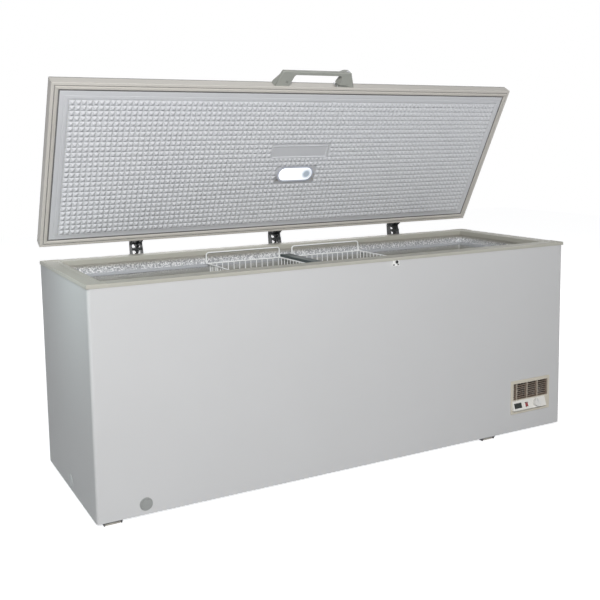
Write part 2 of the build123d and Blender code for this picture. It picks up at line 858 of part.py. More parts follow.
# The knob is moulded on its spindle, which turns in the thermostat behind the face.
with BuildPart() as thermostat_knob:
    with BuildSketch(face_plane.offset(knob_face_gap)):
        with Locations((knob_x, 0)):
            Circle(knob_radius)
            with PolarLocations(knob_radius + knob_flute / 2, knob_flutes):
                Circle(knob_flute, mode=Mode.SUBTRACT)
    extrude(amount=knob_depth)
    with BuildSketch(face_plane.offset(-box_wall - spindle_seat)):
        with Locations((knob_x, 0)):
            Circle(spindle_radius)
    extrude(amount=box_wall + spindle_seat + knob_face_gap)
    with BuildSketch(face_plane.offset(knob_face_gap + knob_depth)):
        with Locations((knob_x, knob_radius / 2)):
            Rectangle(knob_flute, knob_radius - 2)
    extrude(amount=-knob_flute / 2, mode=Mode.SUBTRACT)
save(thermostat_knob.part, "thermostat_knob")

with BuildPart() as thermostat_body:
    with BuildSketch(face_plane.offset(-box_wall)):
        with Locations((knob_x, 0)):
            Rectangle(thermostat_size, thermostat_height)
    extrude(amount=-thermostat_depth)
    with BuildSketch(face_plane.offset(-box_wall)):
        with Locations((knob_x, 0)):
            Circle(spindle_radius + spindle_fit)
    extrude(amount=-spindle_seat - part_gap, mode=Mode.SUBTRACT)
save(thermostat_body.part, "thermostat_body")

# Machine bay

core_low = panel_y + condenser_stand
core_z = pan_top + condenser_up
core_left = condenser_x - condenser_width / 2
core_right = condenser_x + condenser_width / 2
with BuildPart() as condenser_coil:
    passes = round(condenser_height / tube_pitch)
    with BuildSketch(Plane.YZ.offset(core_left)):
        with Locations((core_low + condenser_depth / 2, core_z + condenser_height / 2)):
            with GridLocations(0, tube_pitch, 1, passes):
                RegularPolygon(tube_radius, rod_sides)
    extrude(amount=condenser_width)
save(condenser_coil.part, "condenser_coil")

with BuildPart() as condenser_frame:
    for x in (core_left, core_right - end_plate):
        block(
            (x, x + end_plate), (core_low, core_low + condenser_depth),
            (pan_top, core_z + condenser_height),
        )
    fin_step = (condenser_width - 2 * end_plate) / (fin_count + 1)
    for fin in range(fin_count):
        x = core_left + end_plate + (fin + 1) * fin_step
        block(
            (x, x + end_plate / 2), (core_low + 3, core_low + condenser_depth - 3),
            (core_z, core_z + condenser_height),
        )
    for z in (core_z, core_z + condenser_height - end_plate):
        block(
            (core_left, core_right), (core_low, core_low + condenser_depth), (z, z + end_plate)
        )
    with BuildSketch(Plane.YZ.offset(core_left)):
        with Locations((core_low + condenser_depth / 2, core_z + condenser_height / 2)):
            with GridLocations(0, tube_pitch, 1, passes):
                Rectangle(2 * tube_radius, 2 * tube_radius)
    extrude(amount=condenser_width, mode=Mode.SUBTRACT)
save(condenser_frame.part, "condenser_frame")

fan_z = core_z + condenser_height / 2
shroud_y = core_low + condenser_depth
fan_y = shroud_y + end_plate + fan_depth / 2
with BuildPart() as fan_shroud:
    with BuildSketch(facing_back(shroud_y)):
        with Locations((-condenser_x, fan_z)):
            Rectangle(condenser_width, condenser_height)
            Circle(fan_radius, mode=Mode.SUBTRACT)
    extrude(amount=end_plate)
    with BuildSketch(facing_back(shroud_y)):
        with Locations((-condenser_x, fan_z)):
            Circle(fan_radius + fan_ring)
            Circle(fan_radius, mode=Mode.SUBTRACT)
    extrude(amount=end_plate + fan_depth)
save(fan_shroud.part, "fan_shroud")

motor_y = fan_y + fan_depth / 2 + 4
with BuildPart() as fan_motor:
    with BuildSketch(facing_back(motor_y)):
        with Locations((-condenser_x, fan_z)):
            Circle(motor_radius)
    extrude(amount=motor_length)
    for angle in (45, 135, 225, 315):
        with BuildSketch(facing_back(motor_y)):
            with Locations(Location((-condenser_x, fan_z, 0), (0, 0, angle))):
                with Locations((fan_radius / 2, 0)):
                    Rectangle(fan_radius + 2 * fan_ring, strut_width)
        extrude(amount=fan_ring)
        tip = (fan_radius + fan_ring / 2)
        with BuildSketch(facing_back(shroud_y + end_plate + fan_depth)):
            with Locations(Location((-condenser_x, fan_z, 0), (0, 0, angle))):
                with Locations((tip, 0)):
                    Rectangle(fan_ring, strut_width)
        extrude(amount=motor_y - (shroud_y + end_plate + fan_depth))
save(fan_motor.part, "fan_motor")

with BuildPart() as fan_blade_wheel:
    with BuildSketch(facing_back(fan_y - fan_depth / 3)):
        with Locations((-condenser_x, fan_z)):
            Circle(fan_hub_radius)
    extrude(amount=fan_depth * 0.66)
    blade_length = fan_radius - fan_tip_gap - fan_hub_radius + 3
    centre = Location((condenser_x, fan_y, fan_z), (90, 0, 0))
    for turn in range(fan_blades):
        spoke = centre * Location((0, 0, 0), (0, 0, turn * 360 / fan_blades))
        root = spoke * Location((fan_hub_radius - 3, 0, 0), (fan_blade_tilt, 0, 0))
        with BuildSketch(Plane(root)):
            Polygon(
                (0, -12), (blade_length * 0.8, -26), (blade_length, -10), (blade_length, 14),
                (0, 12), align=None,
            )
        extrude(amount=fan_blade_sheet / 2, both=True)
    with BuildSketch(facing_back(fan_y)):
        with Locations((-condenser_x, fan_z)):
            Circle(fan_shaft_radius)
    extrude(amount=motor_y - part_gap - fan_y)
save(fan_blade_wheel.part, "fan_blade_wheel")

compressor_y = back_y - compressor_back
mount_x = compressor_plate_width - 2 * grommet_radius
mount_y = compressor_plate_depth - 2 * grommet_radius
rail_top = pan_top + mount_sheet
with BuildPart() as compressor_rail:
    with BuildSketch(Plane.XY.offset(pan_top)):
        with Locations((compressor_x, compressor_y)):
            Rectangle(compressor_plate_width + 20, compressor_plate_depth + 20)
    extrude(amount=mount_sheet)
save(compressor_rail.part, "compressor_rail")

with BuildPart() as compressor_grommets:
    with BuildSketch(Plane.XY.offset(rail_top)):
        with Locations((compressor_x, compressor_y)):
            with GridLocations(mount_x, mount_y, 2, 2):
                RegularPolygon(grommet_radius, rod_sides)
    extrude(amount=grommet_height)
save(compressor_grommets.part, "compressor_grommets")

mount_top = rail_top + grommet_height + mount_sheet
can_low = mount_top
can_high = can_low + compressor_height
with BuildPart() as compressor:
    with BuildSketch(Plane.XY.offset(mount_top - mount_sheet)):
        with Locations((compressor_x, compressor_y)):
            Rectangle(compressor_plate_width, compressor_plate_depth)
            chamfer(vertices(), grommet_radius)
    extrude(amount=mount_sheet)
    with BuildSketch(Plane((compressor_x, compressor_y, can_low), x_dir=(1, 0, 0), z_dir=(0, -1, 0))):
        with BuildLine():
            r, h = compressor_radius, compressor_height
            Polyline(
                (0, 0), (r * 0.7, 0), (r * 0.95, h * 0.2), (r * 0.95, h * 0.44),
                (r, h * 0.44), (r, h * 0.5), (r * 0.95, h * 0.5), (r * 0.95, h * 0.7),
                (r * 0.84, h * 0.86), (r * 0.6, h * 0.96), (r * 0.3, h), (0, h), close=True,
            )
        make_face()
    revolve(axis=Axis((compressor_x, compressor_y, can_low), (0, 0, 1)))
save(compressor.part, "compressor")

with BuildPart() as terminal_box:
    box_face = compressor_x - compressor_radius - terminal_depth
    block(
        (box_face, box_face + terminal_depth),
        (compressor_y - terminal_width / 2, compressor_y + terminal_width / 2),
        (can_low + terminal_up, can_low + terminal_up + terminal_height),
    )
    chamfer(edges().filter_by(Axis.Z), 4)
save(terminal_box.part, "terminal_box")

drier_z = core_z + 34
drier_y = core_low + condenser_depth / 2
with BuildPart() as filter_drier:
    with BuildSketch(Plane((core_left, drier_y, drier_z), x_dir=(0, 1, 0), z_dir=(-1, 0, 0))):
        RegularPolygon(pipe_radius, rod_sides)
    extrude(amount=core_left - bay_left)
    drier_mid = (core_left + bay_left) / 2
    drier_half = min(drier_length, core_left - bay_left - drier_end) / 2
    with BuildSketch(Plane.YZ.offset(drier_mid)):
        with Locations((drier_y, drier_z)):
            RegularPolygon(drier_radius, rod_sides)
    extrude(amount=drier_half - drier_end, both=True)
    for side in (1, -1):
        shoulder = Plane(
            (drier_mid + side * (drier_half - drier_end), drier_y, drier_z), z_dir=(side, 0, 0)
        )
        with BuildSketch(shoulder):
            RegularPolygon(drier_radius, rod_sides)
        extrude(amount=drier_end, taper=35)
save(filter_drier.part, "filter_drier")

# Pipes leave the compressor's side: one to the condenser, one back from the evaporator.
pipe_z = can_low + compressor_height * 0.6
pipe_side = compressor_radius * 0.7
inlet_x = compressor_x + pipe_side
suction_y = compressor_y + pipe_side
with BuildPart() as refrigerant_pipes:
    with BuildLine():
        FilletPolyline(
            (inlet_x, compressor_y, pipe_z), (inlet_x, drier_y, pipe_z),
            (core_right, drier_y, pipe_z), radius=pipe_bend,
        )
    with BuildSketch(Plane((inlet_x, compressor_y, pipe_z), z_dir=(0, -1, 0))):
        RegularPolygon(pipe_radius, rod_sides)
    sweep()
    with BuildSketch(Plane.YZ.offset(bay_left)):
        with Locations((suction_y, pipe_z)):
            RegularPolygon(pipe_radius, rod_sides)
    extrude(amount=compressor_x - bay_left)
    add(compressor.part, mode=Mode.SUBTRACT)
save(refrigerant_pipes.part, "refrigerant_pipes")

gland_x = cover_left + gland_in
gland_z = cover_bottom + gland_up
with BuildPart() as rear_cover:
    block((cover_left, cover_right), (rear_y, rear_y + cover_sheet), (cover_bottom, cover_top))
    with BuildSketch(facing_back(rear_y + cover_sheet)):
        with Locations((-(cover_left + cover_right) / 2, (cover_bottom + cover_top) / 2 + 10)):
            with GridLocations(cover_slot_pitch, cover_slot_height + 12, cover_slots, 2):
                Rectangle(cover_slot_width, cover_slot_height)
        with Locations((-gland_x, gland_z)):
            Circle(gland_radius - 2)
    extrude(amount=-cover_sheet, mode=Mode.SUBTRACT)
    screw_holes(cover_seats, cover_sheet)
save(rear_cover.part, "rear_cover")

with BuildPart() as cable_gland:
    with BuildSketch(facing_back(rear_y + cover_sheet)):
        with Locations((-gland_x, gland_z)):
            RegularPolygon(gland_radius, screw_sides)
    extrude(amount=gland_length / 2)
    with BuildSketch(facing_back(rear_y)):
        with Locations((-gland_x, gland_z)):
            Circle(gland_radius - 2)
    extrude(amount=cover_sheet)
    with BuildSketch(facing_back(rear_y - 4)):
        with Locations((-gland_x, gland_z)):
            Circle(gland_bore)
    extrude(amount=gland_length + 8, mode=Mode.SUBTRACT)
save(cable_gland.part, "cable_gland")

# Sprung hinges


def ear_outline(x):
    # Side view of the leaf's ear: from the pin's boss to the plate on the lid.
    with BuildSketch(Plane.YZ.offset(x)) as ear:
        with Locations((pivot_y, pivot_z)):
            Circle(cam_hub)
        with Locations((back_y + hinge_sheet / 2, pivot_z + (leaf_above - leaf_below) / 2)):
            Rectangle(hinge_sheet, leaf_above + leaf_below)
        make_hull()
    return ear.sketch


def pin_hole(x):
    with BuildSketch(Plane.YZ.offset(x)) as hole:
        with Locations((pivot_y, pivot_z)):
            Circle(pin_radius + pin_fit)
    return hole.sketch


def cam_point(angle):
    # A flat plunger rides on an involute, so its travel is in step with the lid's angle.
    reach = cam_low + cam_offset * (cam_swing - angle)
    return (
        pivot_y - cam_offset * cos(angle) + reach * sin(angle),
        pivot_z - cam_offset * sin(angle) - reach * cos(angle),
    )


cam_curve = [cam_point(cam_swing * step / cam_steps) for step in range(cam_steps + 1)]
channel_half = hinge_width / 2
inner_half = channel_half - hinge_sheet
channel_foot = rim_z - channel_drop
lean_z = rim_z - rim_lip - channel_clear
plunger_y = pivot_y - cam_offset
plunger_top = pivot_z - cam_low - cam_offset * (cam_swing - rest_swing) - cam_gap
seat_z = rim_z - seat_drop

with BuildPart() as hinge_channels:
    for x in hinge_xs.values():
        for side in (x - channel_half, x + inner_half):
            with BuildSketch(Plane.YZ.offset(side)):
                with Locations((pivot_y, pivot_z)):
                    Circle(hinge_round)
                with Locations((rear_y + flange_foot / 2, (channel_foot + lean_z) / 2)):
                    Rectangle(flange_foot, lean_z - channel_foot)
                make_hull()
                with Locations((pivot_y, pivot_z)):
                    Circle(pin_radius + pin_fit, mode=Mode.SUBTRACT)
            extrude(amount=hinge_sheet)
        block((x - channel_half, x + channel_half), (rear_y, rear_y + hinge_sheet),
              (channel_foot, lean_z))
        block((x - channel_half, x + channel_half), (rear_y, rear_y + flange_foot),
              (seat_z - seat_sheet, seat_z))
        with BuildSketch(Plane.XY.offset(seat_z)):
            with Locations((x, plunger_y)):
                RegularPolygon(spring_radius - spring_wire - part_gap, rod_sides)
        extrude(amount=seat_boss)
    screw_holes(channel_seats, hinge_sheet)
save(hinge_channels.part, "hinge_channels")

with BuildPart() as cabinet_screws:
    screws(channel_seats, hinge_sheet + sheet)
    screws(cover_seats, cover_sheet + sheet)
save(cabinet_screws.part, "cabinet_screws")

with BuildPart() as hinge_pins:
    for x in hinge_xs.values():
        with BuildSketch(Plane.YZ.offset(x - channel_half)):
            with Locations((pivot_y, pivot_z)):
                Circle(pin_radius)
        extrude(amount=hinge_width)
        for side, step in ((x + channel_half, pin_head), (x - channel_half, -pin_head)):
            with BuildSketch(Plane.YZ.offset(side)):
                with Locations((pivot_y, pivot_z)):
                    RegularPolygon(pin_head_radius, screw_sides)
            extrude(amount=step)
save(hinge_pins.part, "hinge_pins")

with BuildPart() as hinge_leaves:
    for x in hinge_xs.values():
        leaf_half = inner_half - leaf_side_gap
        plate_low, plate_high = pivot_z - leaf_below, pivot_z + leaf_above
        block((x - leaf_half, x + leaf_half), (back_y, back_y + hinge_sheet),
              (plate_low, plate_high))
        for side in (x - leaf_half, x + leaf_half - leaf_ear):
            extrude(ear_outline(side), amount=leaf_ear)
        extrude(ear_outline(x - cam_width / 2), amount=cam_width)
        with BuildSketch(Plane.YZ.offset(x - cam_width / 2)):
            with BuildLine():
                Spline(cam_curve)
                Polyline(cam_curve[-1], (pivot_y, pivot_z), cam_curve[0])
            make_face()
        extrude(amount=cam_width)
        extrude(pin_hole(x - channel_half), amount=hinge_width, mode=Mode.SUBTRACT)
    screw_holes(leaf_seats, hinge_sheet)
save_on_lid(hinge_leaves.part, "hinge_leaves")

with BuildPart() as hinge_plungers:
    for x in hinge_xs.values():
        half = inner_half - plunger_side_gap
        block((x - half, x + half), (plunger_y - plunger_depth / 2, plunger_y + plunger_depth / 2),
              (plunger_top - plunger_head, plunger_top))
        with BuildSketch(Plane.XY.offset(plunger_top - plunger_head)):
            with Locations((x, plunger_y)):
                RegularPolygon(stem_radius, rod_sides)
        extrude(amount=-stem_length)
save(hinge_plungers.part, "hinge_plungers")

with BuildPart() as hinge_springs:
    for x in hinge_xs.values():
        with BuildSketch(Plane.XY.offset(seat_z)):
            with Locations((x, plunger_y)):
                RegularPolygon(spring_radius, rod_sides)
                RegularPolygon(spring_radius - spring_wire, rod_sides, mode=Mode.SUBTRACT)
        extrude(amount=plunger_top - plunger_head - spring_end_gap - seat_z)
save(hinge_springs.part, "hinge_springs")

# Lid, drawn closed


def lid_profile():
    Polygon(
        (0, 0), (lid_rail_face, 0), (lid_rail_face, lid_wall), (lid_wall, lid_wall),
        (lid_wall, lid_thickness - lid_wall), (lid_rail_top, lid_thickness - lid_wall),
        (lid_rail_top, lid_thickness), (0, lid_thickness), align=None,
    )
    outer = vertices().group_by(Axis.X)[0]
    fillet(outer, lid_round - 1)


with BuildPart() as lid_rails:
    rail_frame(lid_profile, lid_z)
    screw_holes(leaf_seats, hinge_sheet + lid_wall)
save_on_lid(lid_rails.part, "lid_rails")

foam_low = lid_z + lid_wall
foam_high = lid_top - lid_wall - lid_sheet
lamp_y = back_y - lamp_from_back
lamp_plane = Plane.XY.offset(foam_low)
tray_length = lamp_length - 2 * lamp_flange
tray_height = lamp_height - 2 * lamp_flange
border_x = half_width - lid_rail_face
border_y = half_depth - lid_rail_face
field_x = border_x - lid_border
field_y = border_y - lid_border
liner_low = foam_low - lid_liner_sheet
field_low = liner_low - lid_field_rise
flange_low = field_low - lamp_flange_sheet

with BuildPart() as lid_foam:
    block(
        (-half_width + lid_wall, half_width - lid_wall), (front_y + lid_wall, back_y - lid_wall),
        (foam_low, foam_high),
    )
    with BuildSketch(lamp_plane):
        with Locations((lamp_x, lamp_y)):
            SlotOverall(tray_length, tray_height)
    extrude(amount=lamp_depth, mode=Mode.SUBTRACT)
save_on_lid(lid_foam.part, "lid_foam")

with BuildPart() as lid_skin:
    block(
        (-half_width + lid_wall, half_width - lid_wall), (front_y + lid_wall, back_y - lid_wall),
        (foam_high, foam_high + lid_sheet),
    )
save_on_lid(lid_skin.part, "lid_skin")

with BuildPart() as lid_liner:
    block((-border_x, border_x), (mid_y - border_y, mid_y + border_y), (liner_low, foam_low))
    with BuildSketch(Plane.XY.offset(liner_low)):
        with Locations((0, mid_y)):
            Rectangle(2 * field_x, 2 * field_y)
    extrude(amount=-lid_field_rise, taper=30)
    with BuildSketch(lamp_plane):
        with Locations((lamp_x, lamp_y)):
            SlotOverall(tray_length, tray_height)
    extrude(amount=-lid_liner_sheet - lid_field_rise, mode=Mode.SUBTRACT)
save_on_lid(lid_liner.part, "lid_liner")

with BuildPart() as lid_gasket:
    gasket_end = gasket_in + gasket_width
    with BuildSketch(Plane.XY.offset(lid_z)):
        with Locations((0, mid_y)):
            Rectangle(cabinet_width - 2 * gasket_in, cabinet_depth - 2 * gasket_in)
            Rectangle(cabinet_width - 2 * gasket_end, cabinet_depth - 2 * gasket_end,
                      mode=Mode.SUBTRACT)
    extrude(amount=rim_z + gasket_free - lid_z)
    fillet(edges().group_by(Axis.Z)[0], 1.5)
save_on_lid(lid_gasket.part, "lid_gasket")

with BuildPart() as lamp_housing:
    with BuildSketch(Plane.XY.offset(flange_low)):
        with Locations((lamp_x, lamp_y)):
            SlotOverall(lamp_length, lamp_height)
            SlotOverall(tray_length - 2 * lamp_wall, tray_height - 2 * lamp_wall,
                        mode=Mode.SUBTRACT)
    extrude(amount=lamp_flange_sheet)
    with BuildSketch(Plane.XY.offset(flange_low)):
        with Locations((lamp_x, lamp_y)):
            SlotOverall(tray_length, tray_height)
            SlotOverall(tray_length - 2 * lamp_wall, tray_height - 2 * lamp_wall,
                        mode=Mode.SUBTRACT)
    extrude(amount=foam_low + lamp_depth - flange_low)
    with BuildSketch(Plane.XY.offset(foam_low + lamp_depth)):
        with Locations((lamp_x, lamp_y)):
            SlotOverall(tray_length, tray_height)
    extrude(amount=-lamp_wall)
save_on_lid(lamp_housing.part, "lamp_housing")

with BuildPart() as lamp_lens:
    with BuildSketch(Plane.XY.offset(flange_low)):
        with Locations((lamp_x, lamp_y)):
            SlotOverall(tray_length + lens_margin, tray_height + lens_margin)
    extrude(amount=-lens_sheet)
    chamfer(faces().sort_by(Axis.Z)[0].edges(), lens_sheet / 2)
save_on_lid(lamp_lens.part, "lamp_lens")

bulb_z = foam_low + lamp_depth - lamp_wall - bulb_radius
with BuildPart() as lamp_bulb:
    with BuildSketch(Plane.YZ.offset(lamp_x - bulb_length / 2)):
        with Locations((lamp_y, bulb_z)):
            RegularPolygon(bulb_radius, rod_sides)
    extrude(amount=bulb_length)
    chamfer(faces().sort_by(Axis.X)[0].edges() + faces().sort_by(Axis.X)[-1].edges(), 3)
save_on_lid(lamp_bulb.part, "lamp_bulb")

# Handle and lock, drawn closed

bar_y = front_y - handle_reach
grip_y = bar_y + handle_bar
handle_z = lid_z + handle_low
lock_z = lid_z + lock_up
inner_left = handle_left + handle_leg_left
inner_right = handle_right - handle_leg_right
hook_arc = lock_z - (rim_z - post_drop) + post_radius + part_gap
hook_reach = hook_arc + hook_width
hook_back = front_y - hook_near
hook_front = hook_back - hook_sheet
slot_back = hook_back + hook_slack
slot_front = hook_front - hook_slack
slot_reach = hook_reach + 1.5
slot_start = hook_open_angle - 12
slot_sweep = lock_turn + hook_sweep + 24
grip_round = 8.0
screw_x = inner_left - 19
screw_y = front_y - 16

with BuildPart() as lid_handle:
    with BuildSketch(Plane.XY.offset(handle_z)):
        Polygon(
            (handle_left, front_y), (handle_left + handle_lean, bar_y),
            (handle_right - handle_lean, bar_y), (handle_right, front_y), align=None,
        )
        fillet(vertices().group_by(Axis.Y)[0], handle_round)
        with BuildSketch(mode=Mode.PRIVATE) as grip:
            Polygon(
                (inner_left, front_y), (inner_left + handle_inner_lean, grip_y),
                (inner_right - handle_inner_lean, grip_y), (inner_right, front_y), align=None,
            )
            fillet(vertices().group_by(Axis.Y)[0], grip_round)
        add(grip.sketch, mode=Mode.SUBTRACT)
    extrude(amount=handle_thick)
    outer_front = edges().group_by(Axis.Z)[0] + edges().group_by(Axis.Z)[-1]
    fillet(outer_front.filter_by(lambda edge: edge.center().Y < grip_y - 1), handle_round)
    with BuildSketch(facing_front(bar_y)):
        with Locations((lock_x, lock_z)):
            Circle(lock_radius + lock_fit)
    extrude(amount=-(slot_back - bar_y), mode=Mode.SUBTRACT)
    with BuildSketch(facing_front(slot_back)):
        with BuildLine():
            start = (
                lock_x + slot_reach * cos(radians(slot_start)),
                lock_z + slot_reach * sin(radians(slot_start)),
            )
            slot_arc = CenterArc((lock_x, lock_z), slot_reach, slot_start, slot_sweep)
            Line(start, (lock_x, lock_z))
            Line((lock_x, lock_z), slot_arc @ 1)
        make_face()
    extrude(amount=slot_back - slot_front, mode=Mode.SUBTRACT)
    with Locations(Plane((screw_x, screw_y, handle_z), z_dir=(0, 0, -1))):
        CounterBoreHole(screw_radius + screw_fit, screw_head_radius + part_gap, 8, handle_thick)
save_on_lid(lid_handle.part, "lid_handle")

handle_seat = [Plane((screw_x, screw_y, handle_z + 8), z_dir=(0, 0, -1))]
with BuildPart() as lid_screws:
    screws(leaf_seats, hinge_sheet + lid_wall)
    screws(handle_seat, handle_thick - 12)
save_on_lid(lid_screws.part, "lid_screws")

with BuildPart() as lock_barrel:
    with BuildSketch(facing_front(hook_front)):
        with Locations((lock_x, lock_z)):
            Circle(lock_radius)
    extrude(amount=hook_front - bar_y + lock_proud)
    chamfer(faces().sort_by(Axis.Y)[0].edges(), 1)
    with BuildSketch(facing_front(bar_y - lock_proud)):
        with Locations((lock_x, lock_z)):
            Rectangle(1.4, lock_radius * 0.9)
    extrude(amount=-4, mode=Mode.SUBTRACT)
save_on_lid(lock_barrel.part, "lock_barrel")

with BuildPart() as lock_hook:
    with BuildSketch(facing_front(hook_back)):
        with BuildLine():
            outer = CenterArc((lock_x, lock_z), hook_reach, hook_open_angle, hook_sweep)
            inner = CenterArc((lock_x, lock_z), hook_arc, hook_open_angle, hook_sweep)
            Line(outer @ 0, inner @ 0)
            Line(outer @ 1, inner @ 1)
        make_face()
        with BuildLine():
            heel_angle = hook_open_angle + degrees(hook_arm / hook_reach)
            heel = CenterArc((lock_x, lock_z), hook_reach, hook_open_angle, heel_angle - hook_open_angle)
            Line((lock_x, lock_z), heel @ 0)
            Line((lock_x, lock_z), heel @ 1)
        make_face()
        with Locations((lock_x, lock_z)):
            Circle(lock_radius - 1)
    extrude(amount=hook_sheet)
save_on_lid(lock_hook.part, "lock_hook")

# Wire baskets: straight rods that touch where they are welded

basket_z = ledge_z + frame_wire
wire_flat = cos(radians(180 / wire_sides))      # flat of a rod's section over its radius
floor_z = basket_z - basket_drop
end_y = half_depth - rim_width - basket_end_gap
wall_y = liner_half_y - basket_wall_gap


def rod_row(plane, places, radius, length):
    # Equal rods along the plane's normal, starting on the plane.
    with BuildSketch(plane) as row:
        with Locations(*places):
            RegularPolygon(radius, wire_sides)
    extrude(row.sketch, amount=length)


def save_basket(name, centre_x):
    half = basket_width / 2 - frame_wire
    left, right = centre_x - half, centre_x + half
    front, back = mid_y - wall_y + frame_wire, mid_y + wall_y - frame_wire
    top_z = basket_z + ear_height
    drop_wires = int(basket_width / wire_pitch) - 1
    side_wires = int(2 * wall_y / wire_pitch) - 1
    xs = [centre_x + (i - (drop_wires - 1) / 2) * wire_pitch for i in range(drop_wires)]
    ys = [mid_y + (i - (side_wires - 1) / 2) * wire_pitch for i in range(side_wires)]
    touch = frame_wire + mesh_wire
    with BuildPart() as basket:
        # Side rods rest on the ledge at both ends; the ears stand on their ends.
        rod_row(facing_back(mid_y - end_y), [(-left, basket_z), (-right, basket_z)],
                frame_wire, 2 * end_y)
        ear_ys = (mid_y - end_y + frame_wire, mid_y + end_y - frame_wire)
        corners = [(x, y) for x in (left, right) for y in ear_ys]
        rod_row(Plane.XY.offset(basket_z + frame_wire * wire_flat), corners, frame_wire,
                ear_height - 2 * frame_wire * wire_flat)
        rod_row(Plane.YZ.offset(left - frame_wire), [(y, top_z) for y in ear_ys],
                frame_wire, 2 * (half + frame_wire))
        # Upper and lower hoops.
        for z in (basket_z, floor_z):
            rod_row(Plane.YZ.offset(left + frame_wire), [(front, z), (back, z)],
                    frame_wire, 2 * (half - frame_wire))
        rod_row(facing_back(front - frame_wire), [(-left, floor_z), (-right, floor_z)],
                frame_wire, back - front + 2 * frame_wire)
        # Wires down the four walls, inside the hoops.
        wall_wires = [(x, y) for x in xs for y in (front + touch, back - touch)]
        wall_wires += [(x, y) for x in (left + touch, right - touch) for y in ys]
        rod_row(Plane.XY.offset(floor_z - frame_wire), wall_wires, mesh_wire,
                basket_drop + 2 * frame_wire)
        # Floor wires lie on the lower hoops, beside the wires of the walls.
        floor_wires = [(2 * mesh_wire - x, floor_z + touch * wire_flat) for x in xs]
        rod_row(facing_back(front), floor_wires, mesh_wire, back - front)
    save(basket.part, name)


basket_half = basket_gap + basket_width / 2
save_basket("basket_left", basket_mid - basket_half)
save_basket("basket_right", basket_mid + basket_half)
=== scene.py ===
import json
from math import cos, pi, radians, sin, sqrt

import bmesh
import bpy
from mathutils import Euler, Matrix, Vector


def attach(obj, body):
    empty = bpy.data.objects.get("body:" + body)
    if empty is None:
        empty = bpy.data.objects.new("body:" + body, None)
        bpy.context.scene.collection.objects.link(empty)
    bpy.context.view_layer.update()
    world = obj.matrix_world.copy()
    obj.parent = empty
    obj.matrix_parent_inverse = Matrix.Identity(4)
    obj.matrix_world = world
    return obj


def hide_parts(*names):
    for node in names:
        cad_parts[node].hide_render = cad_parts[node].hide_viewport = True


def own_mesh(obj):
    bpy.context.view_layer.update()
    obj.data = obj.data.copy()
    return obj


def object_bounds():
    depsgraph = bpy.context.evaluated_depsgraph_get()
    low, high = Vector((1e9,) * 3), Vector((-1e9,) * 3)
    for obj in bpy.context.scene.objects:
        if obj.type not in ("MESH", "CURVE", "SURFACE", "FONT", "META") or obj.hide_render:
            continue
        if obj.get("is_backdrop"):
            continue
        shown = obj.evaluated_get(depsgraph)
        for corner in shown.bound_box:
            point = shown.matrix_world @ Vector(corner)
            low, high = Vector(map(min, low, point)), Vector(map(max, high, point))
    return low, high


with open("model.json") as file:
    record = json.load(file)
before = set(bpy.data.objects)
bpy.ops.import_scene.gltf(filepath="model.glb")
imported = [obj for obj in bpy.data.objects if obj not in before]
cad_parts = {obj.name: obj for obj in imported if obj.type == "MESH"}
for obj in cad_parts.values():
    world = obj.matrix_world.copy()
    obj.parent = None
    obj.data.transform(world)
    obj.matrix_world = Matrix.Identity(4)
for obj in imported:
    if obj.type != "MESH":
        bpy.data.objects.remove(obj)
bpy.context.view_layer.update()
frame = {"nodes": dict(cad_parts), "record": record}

cad = frame["nodes"]

# Sizes shared with the solids, in millimetres; every mesh is turned to metres as it is made.
mm = 0.001
half_width = 1015.0
half_depth = 340.0
front_y = -348.892
back_y = front_y + 2 * half_depth
mid_y = (front_y + back_y) / 2
rim_z = 805.0
rim_width = 64.0
ledge_z = 750.0
lid_z = 809.0
lid_thickness = 46.0
lid_wall = 2.5
pivot_y = back_y + 35.0
pivot_z = rim_z + 38.0
open_rest = 61.5
hinge_xs = (-626.0, 0.0, 626.0)
lamp_x, lamp_y = 12.0, back_y - 287.0

# Where a point of the closed lid lies at the rest angle.
to_metres = Matrix.Scale(mm, 4)
about_pivot = Matrix.Translation((0, pivot_y, pivot_z))
opened = (
    to_metres @ about_pivot @ Matrix.Rotation(radians(-open_rest), 4, "X")
    @ about_pivot.inverted()
)


def linear(code):
    """An sRGB hex colour as the linear values that the shaders take."""
    values = [int(code[i:i + 2], 16) / 255 for i in (1, 3, 5)]
    curve = [v / 12.92 if v <= 0.04045 else ((v + 0.055) / 1.055) ** 2.4 for v in values]
    return (*curve, 1.0)


def put(tree, kind, inputs=None, **settings):
    """Add a node to a tree with its settings; each input takes a value or another node's output."""
    node = tree.nodes.new(kind)
    for key, value in settings.items():
        setattr(node, key, value)
    for key, value in (inputs or {}).items():
        if isinstance(value, bpy.types.NodeSocket):
            tree.links.new(value, node.inputs[key])
        else:
            node.inputs[key].default_value = value
    return node


# Materials


def finish(name, colour, roughness, metallic=0.0, ior=1.5, coat=0.0):
    """A material's Principled shader with its plain values."""
    material = bpy.data.materials.new(name)
    material.use_nodes = True
    tree = material.node_tree
    tree.nodes.clear()
    values = {
        "Base Color": linear(colour), "Roughness": roughness, "Metallic": metallic, "IOR": ior,
        "Coat Weight": coat,
    }
    shader = put(tree, "ShaderNodeBsdfPrincipled", values)
    put(tree, "ShaderNodeOutputMaterial", {"Surface": shader.outputs["BSDF"]})
    material.diffuse_color = linear(colour)
    return material


def blend(tree, share, first, second):
    """The mix of two colours by a share from 0 to 1."""
    node = put(tree, "ShaderNodeMix", {0: share, 6: first, 7: second}, data_type="RGBA")
    return node.outputs[2]


def along(tree, axis, start_mm, end_mm):
    """A share that rises from 0 to 1 between two places on one axis of the object."""
    place = put(tree, "ShaderNodeTexCoord").outputs["Object"]
    split = put(tree, "ShaderNodeSeparateXYZ", {"Vector": place})
    return put(tree, "ShaderNodeMapRange", {
        "Value": split.outputs[axis], "From Min": start_mm * mm, "From Max": end_mm * mm,
    }).outputs["Result"]


